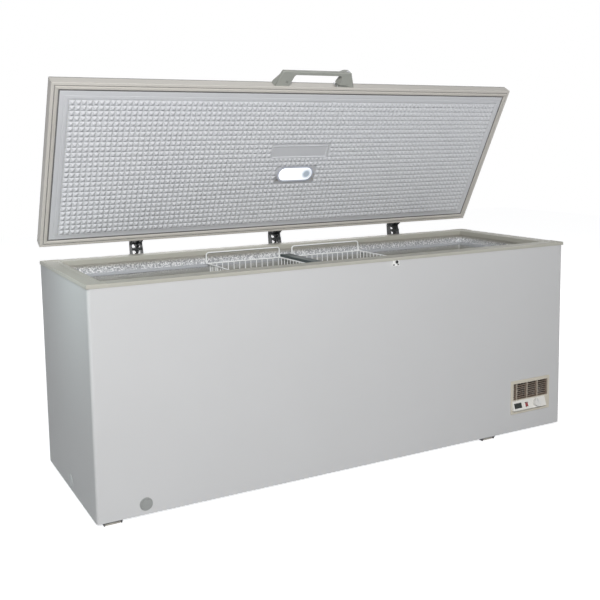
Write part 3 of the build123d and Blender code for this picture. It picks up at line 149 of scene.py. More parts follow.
def shaded_along(material, axis, start_mm, end_mm, colour):
    """Turn a material's colour into another one between two places on one axis."""
    tree = material.node_tree
    base = tree.nodes["Principled BSDF"].inputs["Base Color"]
    share = along(tree, axis, start_mm, end_mm)
    tree.links.new(blend(tree, share, base.links[0].from_socket, linear(colour)), base)
    return material


def surface(material, grain_mm, height_mm, shades, shade_mm, rough):
    """Grain of a real size on a material: a bump, a slow change of colour and one of roughness."""
    tree = material.node_tree
    shader = tree.nodes["Principled BSDF"]
    place = put(tree, "ShaderNodeTexCoord").outputs["Object"]
    fine = put(tree, "ShaderNodeTexNoise", {
        "Vector": place, "Scale": 1 / (grain_mm * mm), "Detail": 3.0, "Roughness": 0.6,
    }).outputs["Fac"]
    slow = put(tree, "ShaderNodeTexNoise", {
        "Vector": place, "Scale": 1 / (shade_mm * mm), "Detail": 2.0, "Roughness": 0.5,
    }).outputs["Fac"]
    bump = put(tree, "ShaderNodeBump", {
        "Height": fine, "Distance": height_mm * mm, "Strength": 1.0,
    })
    tree.links.new(bump.outputs["Normal"], shader.inputs["Normal"])
    mixed = blend(tree, slow, linear(shades[0]), linear(shades[1]))
    tree.links.new(mixed, shader.inputs["Base Color"])
    spread = put(tree, "ShaderNodeMapRange", {
        "Value": slow, "To Min": rough[0], "To Max": rough[1],
    })
    tree.links.new(spread.outputs["Result"], shader.inputs["Roughness"])
    return material


def dress(node, material):
    """Give a CAD node one material."""
    slots = cad[node].data.materials
    slots.clear()
    slots.append(material)


# Powder-coated sheet steel: a dull, slightly wavy satin with a faint orange peel.
enamel = surface(
    finish("powder_coated_steel", "#CACACA", 0.50, ior=1.22),
    3.0, 0.02, ("#C8C8C8", "#CCCCCC"), 420.0, (0.46, 0.56),
)
# Hot-dip galvanised sheet: dull silver with large faint spangle.
galvanised = surface(
    finish("galvanised_steel", "#A8ACAF", 0.45, metallic=1.0),
    14.0, 0.03, ("#989DA1", "#B9BDBF"), 22.0, (0.36, 0.56),
)
# Stucco-embossed aluminium sheet: small random dimples that break up every reflection.
stucco = surface(
    finish("stucco_aluminium", "#D6D8DC", 0.30, metallic=0.55),
    6.0, 2.0, ("#CDCFD5", "#E0E2E4"), 60.0, (0.24, 0.38),
)
# Painted glints and painted shade: each dimple catching or losing the light is painted as bright
# and dark specks a few millimetres wide, strongest near the rim and fading out lower down.
speck_mm = 5.0
tree = stucco.node_tree
base = tree.nodes["Principled BSDF"].inputs["Base Color"]
dimples = put(tree, "ShaderNodeTexNoise", {
    "Vector": put(tree, "ShaderNodeTexCoord").outputs["Object"], "Scale": 1 / (speck_mm * mm),
    "Detail": 2.0, "Roughness": 0.7,
}).outputs["Fac"]
steep = put(tree, "ShaderNodeMapRange", {"Value": dimples, "From Min": 0.42, "From Max": 0.60})
specks = blend(tree, steep.outputs["Result"], linear("#989A9E"), linear("#FFFFFF"))
bright = along(tree, "Z", rim_z - 92.0, rim_z - 34.0)
tree.links.new(blend(tree, bright, base.links[0].from_socket, specks), base)
# Painted shade: deeper in the tank the sheet is painted a dim warm grey, for its shade and the dim
# reflection of its own walls.
shaded_along(stucco, "Z", rim_z - 52.0, rim_z - 96.0, "#9A988C")
# Painted shade: right under the rim's lip the sheet is painted darker, for the shade of the PVC.
shaded_along(stucco, "Z", rim_z - 38.0, rim_z - 24.0, "#A6A39A")
# Drawn aluminium tube with a dull oxide.
dull_tube = surface(
    finish("drawn_aluminium_tube", "#A9ABAD", 0.48, metallic=1.0),
    0.8, 0.01, ("#9EA0A3", "#B4B6B7"), 30.0, (0.42, 0.56),
)
# Poured polyurethane foam, cut face: cream with fine closed cells.
foam = surface(
    finish("polyurethane_foam", "#D8CBA4", 0.92, ior=1.4),
    1.8, 0.5, ("#CFC096", "#E0D5B2"), 35.0, (0.86, 0.98),
)
# Extruded PVC frame: warm grey with a low satin sheen.
rim_pvc = surface(
    finish("extruded_pvc_frame", "#B0AEA4", 0.42),
    0.9, 0.01, ("#ACAAA0", "#B4B2A8"), 260.0, (0.38, 0.48),
)
# Below its inner lip the rail carries the liner's pale grey edge.
shaded_along(rim_pvc, "Z", rim_z - 18.2, rim_z - 18.6, "#B4B6BA")
# The same PVC in the lid's frame, painted lighter and warmer than on the rim: lit and shaded copies
# of one material.
lit_lid_pvc = surface(
    finish("extruded_pvc_lid_frame", "#D0CCC5", 0.44),
    0.9, 0.01, ("#CCC8C1", "#D4D0C9"), 260.0, (0.40, 0.50),
)
# Vacuum-formed polystyrene sheet: cool white-grey, satin, faintly uneven.
liner_sheet = surface(
    finish("formed_polystyrene", "#D2D3D6", 0.36),
    0.7, 0.008, ("#CFD0D4", "#D5D6D8"), 180.0, (0.30, 0.42),
)
# Moulded ABS in light grey: fine spark-eroded grain.
grey_abs = surface(
    finish("grained_grey_abs", "#B6B9B9", 0.48),
    0.5, 0.02, ("#B1B4B4", "#BBBEBE"), 40.0, (0.44, 0.54),
)
# Painted channel section in dark blue-grey: satin, slightly dusty on top.
brace_paint = surface(
    finish("painted_brace_steel", "#465050", 0.50),
    2.2, 0.02, ("#404A4A", "#4D5757"), 60.0, (0.44, 0.60),
)
# Bright zinc plating: silver with a faint warm and blue cast.
zinc = surface(
    finish("bright_zinc_plate", "#A9AAA6", 0.36, metallic=1.0),
    1.0, 0.008, ("#9C9E9F", "#B6B5AC"), 16.0, (0.30, 0.46),
)
# Phosphated spring steel: nearly black with a soft shine.
spring_steel = surface(
    finish("phosphated_spring_steel", "#2C2C2E", 0.42, metallic=0.8),
    0.6, 0.01, ("#262628", "#343436"), 12.0, (0.36, 0.50),
)
# Natural nylon for the rollers: ivory, slightly waxy, dirty where it rolls.
nylon = surface(
    finish("moulded_nylon", "#C4C0B4", 0.46),
    0.8, 0.03, ("#AFAAA0", "#CBC7BC"), 18.0, (0.40, 0.56),
)
# Moulded ABS of the grille: warm ivory with a fine grain.
ivory_abs = surface(
    finish("grained_ivory_abs", "#C9C2B3", 0.50),
    0.5, 0.02, ("#C4BDAE", "#CEC8BA"), 50.0, (0.46, 0.56),
)
# Gloss ABS of the control box: creamy white, moulded smooth.
cream_abs = surface(
    finish("gloss_cream_abs", "#E2E0DA", 0.24, coat=0.2),
    0.6, 0.004, ("#DFDDD6", "#E5E3DE"), 60.0, (0.20, 0.30),
)
# Tinted polycarbonate over a display that is off: almost black, with a green cast.
display_tint = surface(
    finish("tinted_polycarbonate", "#0B130F", 0.22, ior=1.45),
    0.4, 0.002, ("#090F0C", "#0F1A14"), 24.0, (0.18, 0.28),
)
# Black ABS mouldings: satin with a fine grain.
black_abs = surface(
    finish("grained_black_abs", "#1B1B1C", 0.45),
    0.5, 0.02, ("#161617", "#212122"), 20.0, (0.40, 0.52),
)
# Red polycarbonate rocker: deep, slightly clear red that catches a highlight.
rocker_red = surface(
    finish("red_polycarbonate", "#86101A", 0.18, ior=1.58, coat=0.3),
    0.4, 0.003, ("#7C0D16", "#92151F"), 8.0, (0.14, 0.24),
)
# Knob: light grey ABS with a matt grain.
knob_abs = surface(
    finish("matt_grey_abs", "#DAD9D5", 0.46),
    0.4, 0.015, ("#D6D5D1", "#DEDDD9"), 14.0, (0.42, 0.52),
)
# Drawn copper tube, slightly tarnished.
copper = surface(
    finish("drawn_copper", "#B06A45", 0.38, metallic=1.0),
    0.8, 0.01, ("#99583A", "#BE7A55"), 40.0, (0.30, 0.48),
)
# Die-cast aluminium of the fan motor and its wheel.
cast_alloy = surface(
    finish("die_cast_aluminium", "#8B8E90", 0.55, metallic=1.0),
    1.4, 0.05, ("#7F8284", "#97999B"), 20.0, (0.48, 0.64),
)
# Magnetic PVC door seal: soft, matt, warm grey.
seal_pvc = surface(
    finish("soft_pvc_seal", "#C9C5BE", 0.62),
    0.6, 0.02, ("#C4C0B9", "#CECAC3"), 90.0, (0.56, 0.68),
)
# Dark grey for painted shade: in the lid frame's groove, at the foot of its open joint and on the
# skin's folded edge.
joint_shade_grey = surface(
    finish("joint_shade_grey", "#717070", 0.60),
    0.6, 0.02, ("#6B6A6A", "#777676"), 60.0, (0.54, 0.66),
)
# Painted shade: the feet's folded brackets in a dull dark grey, for the shadow line above each
# roller.
foot_shade_grey = surface(
    finish("grey_foot_shade", "#4A4A4C", 0.60),
    0.6, 0.02, ("#444446", "#515153"), 60.0, (0.54, 0.66),
)
# Grey ABS of the drain's cap and ring.
drain_abs = surface(
    finish("mid_grey_abs", "#8E908E", 0.46),
    0.5, 0.02, ("#898B89", "#949694"), 18.0, (0.42, 0.52),
)
# Moulded keeper: white plate, its post and head in black.
keeper_abs = shaded_along(surface(
    finish("keeper_abs", "#EFEFEC", 0.36),
    0.5, 0.01, ("#EBEBE8", "#F2F2F0"), 14.0, (0.32, 0.42),
), "Y", front_y - 3.1, front_y - 3.4, "#141415")
# Grille: ivory plate and ribs; the louvres behind them darker with depth, part dust-brown and part
# painted shade.
shaded_along(ivory_abs, "Y", front_y - 0.6, front_y + 7.0, "#86766A")
# Black paint of the sprung hinges: satin, a little dusty.
hinge_paint = surface(
    finish("black_hinge_paint", "#1E2021", 0.40, coat=0.1),
    1.2, 0.01, ("#191B1C", "#2A2C2D"), 18.0, (0.32, 0.50),
)
# Stoved black enamel of the compressor shell: deep gloss over a pressed steel surface.
black_enamel = surface(
    finish("stoved_black_enamel", "#151516", 0.22, coat=0.4),
    4.0, 0.03, ("#111112", "#1A1A1B"), 70.0, (0.18, 0.30),
)
# Gloss ABS lamp surround, bluish white.
lamp_abs = surface(
    finish("gloss_white_abs", "#C4C7D0", 0.28),
    0.6, 0.004, ("#BFC2CC", "#CACDD5"), 30.0, (0.24, 0.34),
)
# Bulb glass, frosted inside.
bulb_glass = surface(
    finish("frosted_glass", "#E8E6DC", 0.30, ior=1.52),
    0.8, 0.01, ("#E3E1D6", "#EDEBE2"), 10.0, (0.24, 0.38),
)
# Handle: grey ABS with a leather-fine grain, a little worn to a shine on the grip.
handle_abs = surface(
    finish("grained_handle_abs", "#9D9F98", 0.48),
    0.7, 0.03, ("#979993", "#A4A69E"), 55.0, (0.42, 0.54),
)
# Chrome-plated zinc casting of the lock.
chrome = surface(
    finish("chrome_plate", "#C9CBCC", 0.10, metallic=1.0),
    1.2, 0.004, ("#C1C3C5", "#D0D2D3"), 8.0, (0.07, 0.15),
)
# Polyethylene-coated wire: thick white skin that rounds every weld.
coated_wire = surface(
    finish("polyethylene_coated_wire", "#F1F2F1", 0.32),
    1.6, 0.05, ("#ECEEEE", "#F6F6F5"), 45.0, (0.26, 0.40),
)
# Frosted polycarbonate in front of a lit bulb: it glows evenly, a little cooler at the rim.
diffuser = surface(
    finish("frosted_polycarbonate", "#F2F5FA", 0.35, ior=1.58),
    0.8, 0.01, ("#EEF2F9", "#F6F8FB"), 30.0, (0.30, 0.42),
)
diffuser_shader = diffuser.node_tree.nodes["Principled BSDF"]
diffuser_shader.inputs["Emission Color"].default_value = linear("#F4F8FF")
# Painted shadow: towards one end the lamp holder's shadow is painted on the lens as a round
# blue-grey patch that glows less.
holder_shift = 52.0
holder_dark, holder_clear = 12.0, 26.0
tree = diffuser.node_tree
place = put(tree, "ShaderNodeTexCoord").outputs["Object"]
away = put(tree, "ShaderNodeVectorMath", {
    0: place, 1: opened @ Vector((lamp_x + holder_shift, lamp_y, lid_z)),
}, operation="DISTANCE")
lit = put(tree, "ShaderNodeMapRange", {
    "Value": away.outputs["Value"], "From Min": holder_dark * mm,
    "From Max": holder_clear * mm, "To Min": 0.16, "To Max": 0.72,
})
tree.links.new(lit.outputs["Result"], diffuser_shader.inputs["Emission Strength"])
tree.links.new(
    blend(tree, lit.outputs["Result"], linear("#8FA5B8"), linear("#F6F8FB")),
    diffuser_shader.inputs["Base Color"],
)

by_slot = {
    "white_enamel": enamel, "galvanised_sheet": galvanised, "stucco_aluminium": stucco,
    "evaporator_tube": dull_tube, "insulation_foam": foam, "rim_plastic": rim_pvc,
    "liner_plastic": liner_sheet, "grey_moulding": grey_abs, "brace_paint": brace_paint,
    "zinc_plate": zinc, "spring_steel": spring_steel, "roller_nylon": nylon,
    "unit_plastic": ivory_abs, "cream_plastic": cream_abs, "display_glass": display_tint,
    "black_plastic": black_abs, "red_plastic": rocker_red, "knob_plastic": knob_abs,
    "copper_tube": copper, "motor_alloy": cast_alloy, "seal_rubber": seal_pvc,
    "black_enamel": black_enamel, "lamp_plastic": lamp_abs, "lamp_diffuser": diffuser,
    "bulb_glass": bulb_glass, "handle_plastic": handle_abs, "lock_chrome": chrome,
    "basket_coating": coated_wire,
}
for part in frame["record"]["subparts"]:
    dress(part["node"], by_slot[part["material_slot"]])
for node in ("hinge_channels", "hinge_leaves", "hinge_pins", "hinge_plungers"):
    dress(node, hinge_paint)
for node in ("drain_ring", "drain_cap"):
    dress(node, drain_abs)
dress("lock_keeper", keeper_abs)
dress("rocker_housing", cream_abs)
dress("foot_brackets", foot_shade_grey)


# Meshes


def piece(name, mesh, body, slot, *nodes):
    """A finished mesh as a piece that rides on a body and may stand for CAD nodes."""
    obj = bpy.data.objects.new(name, mesh)
    bpy.context.scene.collection.objects.link(obj)
    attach(obj, body)
    if nodes:
        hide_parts(*nodes)
    return obj


def mesh_of(name, points, faces, place, material, edges=()):
    """A mesh from points in millimetres, put in its place."""
    mesh = bpy.data.meshes.new(name)
    mesh.from_pydata([place @ Vector(p) for p in points], edges, faces)
    if material:
        mesh.materials.append(material)
    mesh.update()
    return mesh


def shape_tree(name, sockets):
    """A Geometry Nodes group with named inputs, and its input node's outputs."""
    tree = bpy.data.node_groups.new(name, "GeometryNodeTree")
    tree.interface.new_socket("Geometry", in_out="INPUT", socket_type="NodeSocketGeometry")
    for label, kind in sockets.items():
        tree.interface.new_socket(label, in_out="INPUT", socket_type="NodeSocket" + kind)
    tree.interface.new_socket("Geometry", in_out="OUTPUT", socket_type="NodeSocketGeometry")
    return tree, put(tree, "NodeGroupInput").outputs


def end_tree(tree, geometry, material):
    """Close a tree: real geometry and its material."""
    real = put(tree, "GeometryNodeRealizeInstances", {"Geometry": geometry})
    dressed = put(tree, "GeometryNodeSetMaterial", {
        "Geometry": real.outputs["Geometry"], "Material": material,
    })
    put(tree, "NodeGroupOutput", {"Geometry": dressed.outputs["Geometry"]})


def grown(name, source, tree, values, place=None):
    """The plain mesh that a tree grows on a source mesh."""
    carrier = bpy.data.objects.new(name, source)
    bpy.context.scene.collection.objects.link(carrier)
    modifier = carrier.modifiers.new("shape", "NODES")
    modifier.node_group = tree
    for item in tree.interface.items_tree:
        if item.in_out == "INPUT" and item.name in values:
            modifier[item.identifier] = values[item.name]
    bpy.context.view_layer.update()
    ready = carrier.evaluated_get(bpy.context.evaluated_depsgraph_get())
    mesh = bpy.data.meshes.new_from_object(ready)
    carrier.modifiers.remove(modifier)
    bpy.data.objects.remove(carrier)
    mesh.name = name
    if place is not None:
        mesh.transform(place)
    return mesh


# Round wire that follows a path of edges, with its corners bent to a radius.
wire_tree, given = shape_tree("bent_wire", {
    "Wire radius": "Float", "Bend radius": "Float", "Bend steps": "Int", "Sides": "Int",
    "Material": "Material",
})
path = put(wire_tree, "GeometryNodeMeshToCurve", {"Mesh": given["Geometry"]})
bent = put(wire_tree, "GeometryNodeFilletCurve", {
    "Curve": path.outputs["Curve"], "Radius": given["Bend radius"], "Limit Radius": True,
    "Count": given["Bend steps"],
}, mode="POLY")
section = put(wire_tree, "GeometryNodeCurvePrimitiveCircle", {
    "Resolution": given["Sides"], "Radius": given["Wire radius"],
})
tube = put(wire_tree, "GeometryNodeCurveToMesh", {
    "Curve": bent.outputs["Curve"], "Profile Curve": section.outputs["Curve"], "Fill Caps": True,
})
smooth = put(wire_tree, "GeometryNodeSetShadeSmooth", {"Geometry": tube.outputs["Mesh"]})
end_tree(wire_tree, smooth.outputs["Geometry"], given["Material"])


def wires(name, paths, radius, bend, material, sides, steps=5):
    """Wires of one thickness along paths, each a list of points and whether it closes."""
    points, edges = [], []
    for line, closed in paths:
        first = len(points)
        points += line
        edges += [(first + i, first + i + 1) for i in range(len(line) - 1)]
        if closed:
            edges.append((len(points) - 1, first))
    source = mesh_of(name + "_path", points, [], to_metres, None, edges)
    return grown(name, source, wire_tree, {
        "Wire radius": radius * mm, "Bend radius": bend * mm, "Bend steps": steps,
        "Sides": sides, "Material": material,
    })


def joined(name, meshes):
    """Several meshes as one."""
    whole = bmesh.new()
    mesh = bpy.data.meshes.new(name)
    for part in meshes:
        whole.from_mesh(part)
    whole.to_mesh(mesh)
    for material in meshes[0].materials:
        mesh.materials.append(material)
    whole.free()
    return mesh


def outward(mesh):
    """Turn a closed mesh's faces outwards."""
    shell = bmesh.new()
    shell.from_mesh(mesh)
    bmesh.ops.recalc_face_normals(shell, faces=shell.faces)
    shell.to_mesh(mesh)
    shell.free()
    return mesh


def mitred_frame(name, profile, half_x, half_y, level, place, material):
    """Four rails with one closed profile of (inset, height), cut at 45 degrees."""
    points, faces = [], []
    count = len(profile)
    for turn in range(4):
        reach, across = (half_x, half_y) if turn % 2 == 0 else (half_y, half_x)
        spin = Matrix.Rotation(turn * pi / 2, 4, "Z")
        first = len(points)
        for end in (-1, 1):
            for inset, height in profile:
                local = Vector((end * (reach - inset - mitre_gap), inset - across, height))
                x, y, z = spin @ local
                points.append((x, y + mid_y, z + level))
        for i in range(count):
            j = (i + 1) % count
            faces.append((first + i, first + j, first + count + j, first + count + i))
        faces.append(tuple(first + i for i in reversed(range(count))))
        faces.append(tuple(first + count + i for i in range(count)))
    return outward(mesh_of(name, points, faces, place, material))


def slot_outline(centre, half, corner):
    """Points round a rectangle with rounded corners."""
    points, steps = [], 6
    for turn, (sx, sy) in enumerate(((1, 1), (-1, 1), (-1, -1), (1, -1))):
        for step in range(steps + 1):
            angle = (turn + step / steps) * pi / 2
            points.append((
                centre[0] + sx * (half[0] - corner) + corner * cos(angle),
                centre[1] + sy * (half[1] - corner) + corner * sin(angle),
            ))
    return points


def stepped_plate(name, centre, half, corner, levels, place, material):
    """A closed plate from outlines that shrink by an inset at each level."""
    points, faces = [], []
    for inset, level in levels:
        ring = slot_outline(centre, (half[0] - inset, half[1] - inset), max(corner - inset, 0.5))
        points += [(x, y, level) for x, y in ring]
    count = len(points) // len(levels)
    for ring in range(len(levels) - 1):
        for i in range(count):
            j = (i + 1) % count
            a, b = ring * count, (ring + 1) * count
            faces.append((a + i, a + j, b + j, b + i))
    faces.append(tuple(range(count)))
    faces.append(tuple(len(points) - count + i for i in reversed(range(count))))
    return outward(mesh_of(name, points, faces, place, material))


def loft(name, sections, place):
    """A closed mesh through outlines with the same number of points."""
    count = len(sections[0])
    points = [point for section in sections for point in section]
    faces = [tuple(range(count)), tuple(len(points) - count + i for i in range(count))]
    for first in range(0, len(points) - count, count):
        for i in range(count):
            j = (i + 1) % count
            faces.append((first + i, first + j, first + count + j, first + count + i))
    return outward(mesh_of(name, points, faces, place, None))


def taken_away(name, source, cutters):
    """A solid's mesh less the volumes of other meshes."""
    shell = bmesh.new()
    shell.from_mesh(source)
    bmesh.ops.remove_doubles(shell, verts=shell.verts, dist=0.01 * mm)
    shell.to_mesh(source)
    shell.free()
    body = bpy.data.objects.new(name, source)
    helpers = [bpy.data.objects.new(f"{name}_cutter", mesh) for mesh in cutters]
    for obj in (body, *helpers):
        bpy.context.scene.collection.objects.link(obj)
    for helper in helpers:
        cut = body.modifiers.new("cut", "BOOLEAN")
        cut.object, cut.operation, cut.solver = helper, "DIFFERENCE", "EXACT"
    bpy.context.view_layer.update()
    ready = body.evaluated_get(bpy.context.evaluated_depsgraph_get())
    mesh = bpy.data.meshes.new_from_object(ready)
    for obj in (body, *helpers):
        bpy.data.objects.remove(obj)
    mesh.name = name
    return mesh


def on_front(x, y, z):
    """A place on a forward face: its z points at the viewer and its y up."""
    return to_metres @ Matrix.Translation((x, y, z)) @ Matrix.Rotation(pi / 2, 4, "X")


# Lid frame: four mitred extrusions; the seal sits between two grooves of their face.
lid_rail_face = 28.0
gasket_in = 14.0
gasket_width = 12.0
mitre_gap = 0.2
lid_frame_profile = [
    (0.0, 3.0), (0.4, 1.6), (1.4, 0.4), (2.8, 0.0), (10.6, 0.0), (11.2, 0.6), (11.2, 2.1),
    (13.6, 2.1), (13.6, 0.0), (26.4, 0.0), (26.4, 2.1), (lid_rail_face, 2.1),
    (lid_rail_face, lid_wall), (lid_wall, lid_wall), (lid_wall, lid_thickness - lid_wall),
    (14.0, lid_thickness - lid_wall), (14.0, lid_thickness - 0.4), (13.4, lid_thickness),
    (2.4, lid_thickness), (1.7, lid_thickness - 0.5), (1.7, lid_thickness - 6.0),
    (0.0, lid_thickness - 6.0),
]
lid_frame = mitred_frame(
    "lid_frame", lid_frame_profile, half_width, half_depth, lid_z, opened, lit_lid_pvc
)
piece("lid_frame", lid_frame, "lid", "rim_plastic", "lid_rails")

# Rim frame: short lip over the front panel, a groove in its top and the basket ledge inside.
rim_profile = [
    (0.0, -12.5), (0.0, -2.2), (0.6, -0.7), (2.2, 0.0), (43.6, 0.0), (45.0, -1.5), (49.0, -1.5),
    (50.4, 0.0), (61.4, 0.0), (63.3, -0.7), (rim_width, -2.4), (rim_width, -18.0), (62.4, -18.0),
    (62.4, -55.5), (78.0, -55.5), (78.0, -65.5), (75.5, -65.5), (75.5, -57.5), (61.5, -57.5),
    (61.5, -2.5), (2.5, -2.5), (2.5, -12.5),
]
rim_frame = mitred_frame(
    "rim_frame", rim_profile, half_width, half_depth, rim_z, to_metres, rim_pvc
)
piece("rim_frame", rim_frame, "cabinet", "rim_plastic", "rim_rails")
# The tank's stucco sheet comes up inside the rim, above the ledge.
upstand = mitred_frame(
    "upstand", [(62.6, -54.6), (63.6, -54.6), (63.6, -18.3), (62.6, -18.3)],
    half_width, half_depth, rim_z, to_metres, stucco,
)
piece("tank_upstand", upstand, "cabinet", "stucco_aluminium")

gasket_profile = [
    (gasket_in, 0.4), (gasket_in, -1.2), (gasket_in + 1.0, -2.6), (gasket_in + 3.0, -3.5),
    (gasket_in + 5.2, -3.6), (gasket_in + 6.0, -2.9), (gasket_in + 6.8, -3.6),
    (gasket_in + 9.0, -3.5), (gasket_in + 11.0, -2.6), (gasket_in + gasket_width, -1.2),
    (gasket_in + gasket_width, 0.4),
]
lid_seal = mitred_frame(
    "lid_seal", gasket_profile, half_width, half_depth, lid_z, opened, seal_pvc
)
piece("lid_seal", lid_seal, "lid", "seal_rubber", "lid_gasket")

# Painted shade: dark strips in the frame's groove and at the foot of the open joint between the
# frame and the liner.
joint_strips = joined("joint_strips", [
    mitred_frame(
        f"joint_strip_{start:.0f}", [(start, 1.5), (end, 1.5), (end, 2.0), (start, 2.0)],
        half_width, half_depth, lid_z, opened, joint_shade_grey,
    )
    for start, end in ((11.3, 13.5), (26.5, 31.5))
])
piece("lid_joint_shade_strips", joint_strips, "lid", "seal_rubber")
# Painted shade: the steel skin's edge, where it is folded into the frame's rebate, painted dark.
skin_edge = mitred_frame(
    "skin_edge", [(0.2, 40.2), (1.6, 40.2), (1.6, 45.5), (0.9, 45.5), (0.2, 44.6)],
    half_width, half_depth, lid_z, opened, joint_shade_grey,
)
piece("lid_skin_edge_shade", skin_edge, "lid", "white_enamel")

# Formed lid liner: a border that steps up to the embossed field.
foam_low = lid_z + lid_wall
liner_low = foam_low - 1.5
field_low = liner_low + 1.8
field_x = 953.0
field_shift = 5.0
field_front = back_y - 613.0
field_back = back_y - 50.0
field_skirt = 6.0
liner_inset = lid_rail_face + 0.4
liner_steps = [
    (0.0, foam_low), (0.0, foam_low - 0.4), (3.4, foam_low - 0.4), (3.4, liner_low + 0.6),
    (4.2, liner_low), (18.6, liner_low), (19.4, liner_low + 0.9), (21.6, liner_low + 0.9),
    (22.4, liner_low),
]
edge_x = half_width - liner_inset
edge_front, edge_back = front_y + liner_inset, back_y - liner_inset
liner_points, liner_faces = [], []
loops = [
    (0.0, edge_x - inset, edge_front + inset, edge_back - inset, level)
    for inset, level in liner_steps
]
loops += [
    (field_shift, field_x + skirt, field_front - skirt, field_back + skirt, height)
    for skirt, height in ((field_skirt, liner_low), (field_skirt / 2, field_low))
]
for mid_x, x, low, high, level in loops:
    liner_points += [
        (mid_x - x, low, level), (mid_x + x, low, level), (mid_x + x, high, level),
        (mid_x - x, high, level),
    ]
for ring in range(len(loops) - 1):
    for i in range(4):
        j = (i + 1) % 4
        a, b = 4 * ring, 4 * ring + 4
        liner_faces.append((a + i, b + i, b + j, a + j))
last = 4 * (len(loops) - 1)
liner_faces.append((last, last + 3, last + 2, last + 1))
liner_faces.append((0, 1, 2, 3))
liner_plate = outward(mesh_of("liner_plate", liner_points, liner_faces, opened, liner_sheet))
piece("lid_liner_sheet", liner_plate, "lid", "liner_plastic", "lid_liner")

# Embossing: rows of low pyramids, left out round the lamp and the smooth plate.
pyramid_pitch = 20.7
pyramid_rise = 6.4
base_share, tip_share = 0.97, 0.16
emboss_tree, given = shape_tree("embossed_pyramids", {
    "Field length": "Float", "Field width": "Float", "Columns": "Int", "Rows": "Int",
    "Base radius": "Float", "Tip radius": "Float", "Rise": "Float", "Material": "Material",
    "Lamp centre": "Vector", "Lamp half size": "Vector",
    "Plate centre": "Vector", "Plate half size": "Vector",
})
grid = put(emboss_tree, "GeometryNodeMeshGrid", {
    "Size X": given["Field length"], "Size Y": given["Field width"],
    "Vertices X": given["Columns"], "Vertices Y": given["Rows"],
})
here = put(emboss_tree, "GeometryNodeInputPosition").outputs["Position"]
inside = []
for place_name in ("Lamp", "Plate"):
    offset = put(emboss_tree, "ShaderNodeVectorMath", {
        0: here, 1: given[place_name + " centre"],
    }, operation="SUBTRACT")
    reach = put(emboss_tree, "ShaderNodeVectorMath", {
        0: offset.outputs["Vector"],
    }, operation="ABSOLUTE")
    left_over = put(emboss_tree, "ShaderNodeVectorMath", {
        0: reach.outputs["Vector"], 1: given[place_name + " half size"],
    }, operation="SUBTRACT")
    split = put(emboss_tree, "ShaderNodeSeparateXYZ", {"Vector": left_over.outputs["Vector"]})
    furthest = put(emboss_tree, "ShaderNodeMath", {
        0: split.outputs["X"], 1: split.outputs["Y"],
    }, operation="MAXIMUM")
    inside.append(put(emboss_tree, "ShaderNodeMath", {
        0: furthest.outputs["Value"], 1: 0.0,
    }, operation="LESS_THAN").outputs["Value"])
bare = put(emboss_tree, "ShaderNodeMath", {0: inside[0], 1: inside[1]}, operation="MAXIMUM")
kept = put(emboss_tree, "GeometryNodeDeleteGeometry", {
    "Geometry": grid.outputs["Mesh"], "Selection": bare.outputs["Value"],
}, domain="POINT")
pyramid = put(emboss_tree, "GeometryNodeMeshCone", {
    "Vertices": 4, "Radius Bottom": given["Base radius"], "Radius Top": given["Tip radius"],
    "Depth": given["Rise"],
}, fill_type="NGON")
spread = put(emboss_tree, "GeometryNodeInstanceOnPoints", {
    "Points": kept.outputs["Geometry"], "Instance": pyramid.outputs["Mesh"],
    "Rotation": (pi, 0.0, pi / 4),
})
end_tree(emboss_tree, spread.outputs["Instances"], given["Material"])

columns = round(2 * field_x / pyramid_pitch)
rows = round((field_back - field_front) / pyramid_pitch)
cell_x = 2 * field_x / columns
cell_y = (field_back - field_front) / rows
field_mid = (field_front + field_back) / 2
plate_x, plate_y = 11.5, back_y - 391.0
lamp_half = (88.5, 40.0)
plate_half = (136.0, 34.0)
embossing = grown("embossing", bpy.data.meshes.new("embossing_seed"), emboss_tree, {
    "Field length": (2 * field_x - cell_x) * mm,
    "Field width": (field_back - field_front - cell_y) * mm,
    "Columns": columns, "Rows": rows,
    "Base radius": pyramid_pitch * base_share / sqrt(2) * mm,
    "Tip radius": pyramid_pitch * tip_share / sqrt(2) * mm, "Rise": pyramid_rise * mm,
    "Lamp centre": ((lamp_x - field_shift) * mm, (lamp_y - field_mid) * mm, 0.0),
    "Lamp half size": (lamp_half[0] * mm, lamp_half[1] * mm, 1.0),
    "Plate centre": ((plate_x - field_shift) * mm, (plate_y - field_mid) * mm, 0.0),
    "Plate half size": (plate_half[0] * mm, plate_half[1] * mm, 1.0),
    "Material": liner_sheet,
}, opened @ Matrix.Translation((field_shift, field_mid, field_low)) @ Matrix.Scale(1 / mm, 4))
piece("lid_liner_embossing", embossing, "lid", "liner_plastic")

# Smooth plate beside the lamp, with rounded corners and a raised step round its edge.
smooth_half, smooth_corner = (129.5, 28.0), 5.0
smooth_plate = stepped_plate(
    "smooth_plate", (plate_x, plate_y), smooth_half, smooth_corner,
    [(0.0, field_low + 0.4), (0.6, field_low - 3.6), (3.4, field_low - 3.6),
     (5.8, field_low - 1.0)],
    opened, liner_sheet,
)
piece("lid_smooth_plate", smooth_plate, "lid", "liner_plastic")

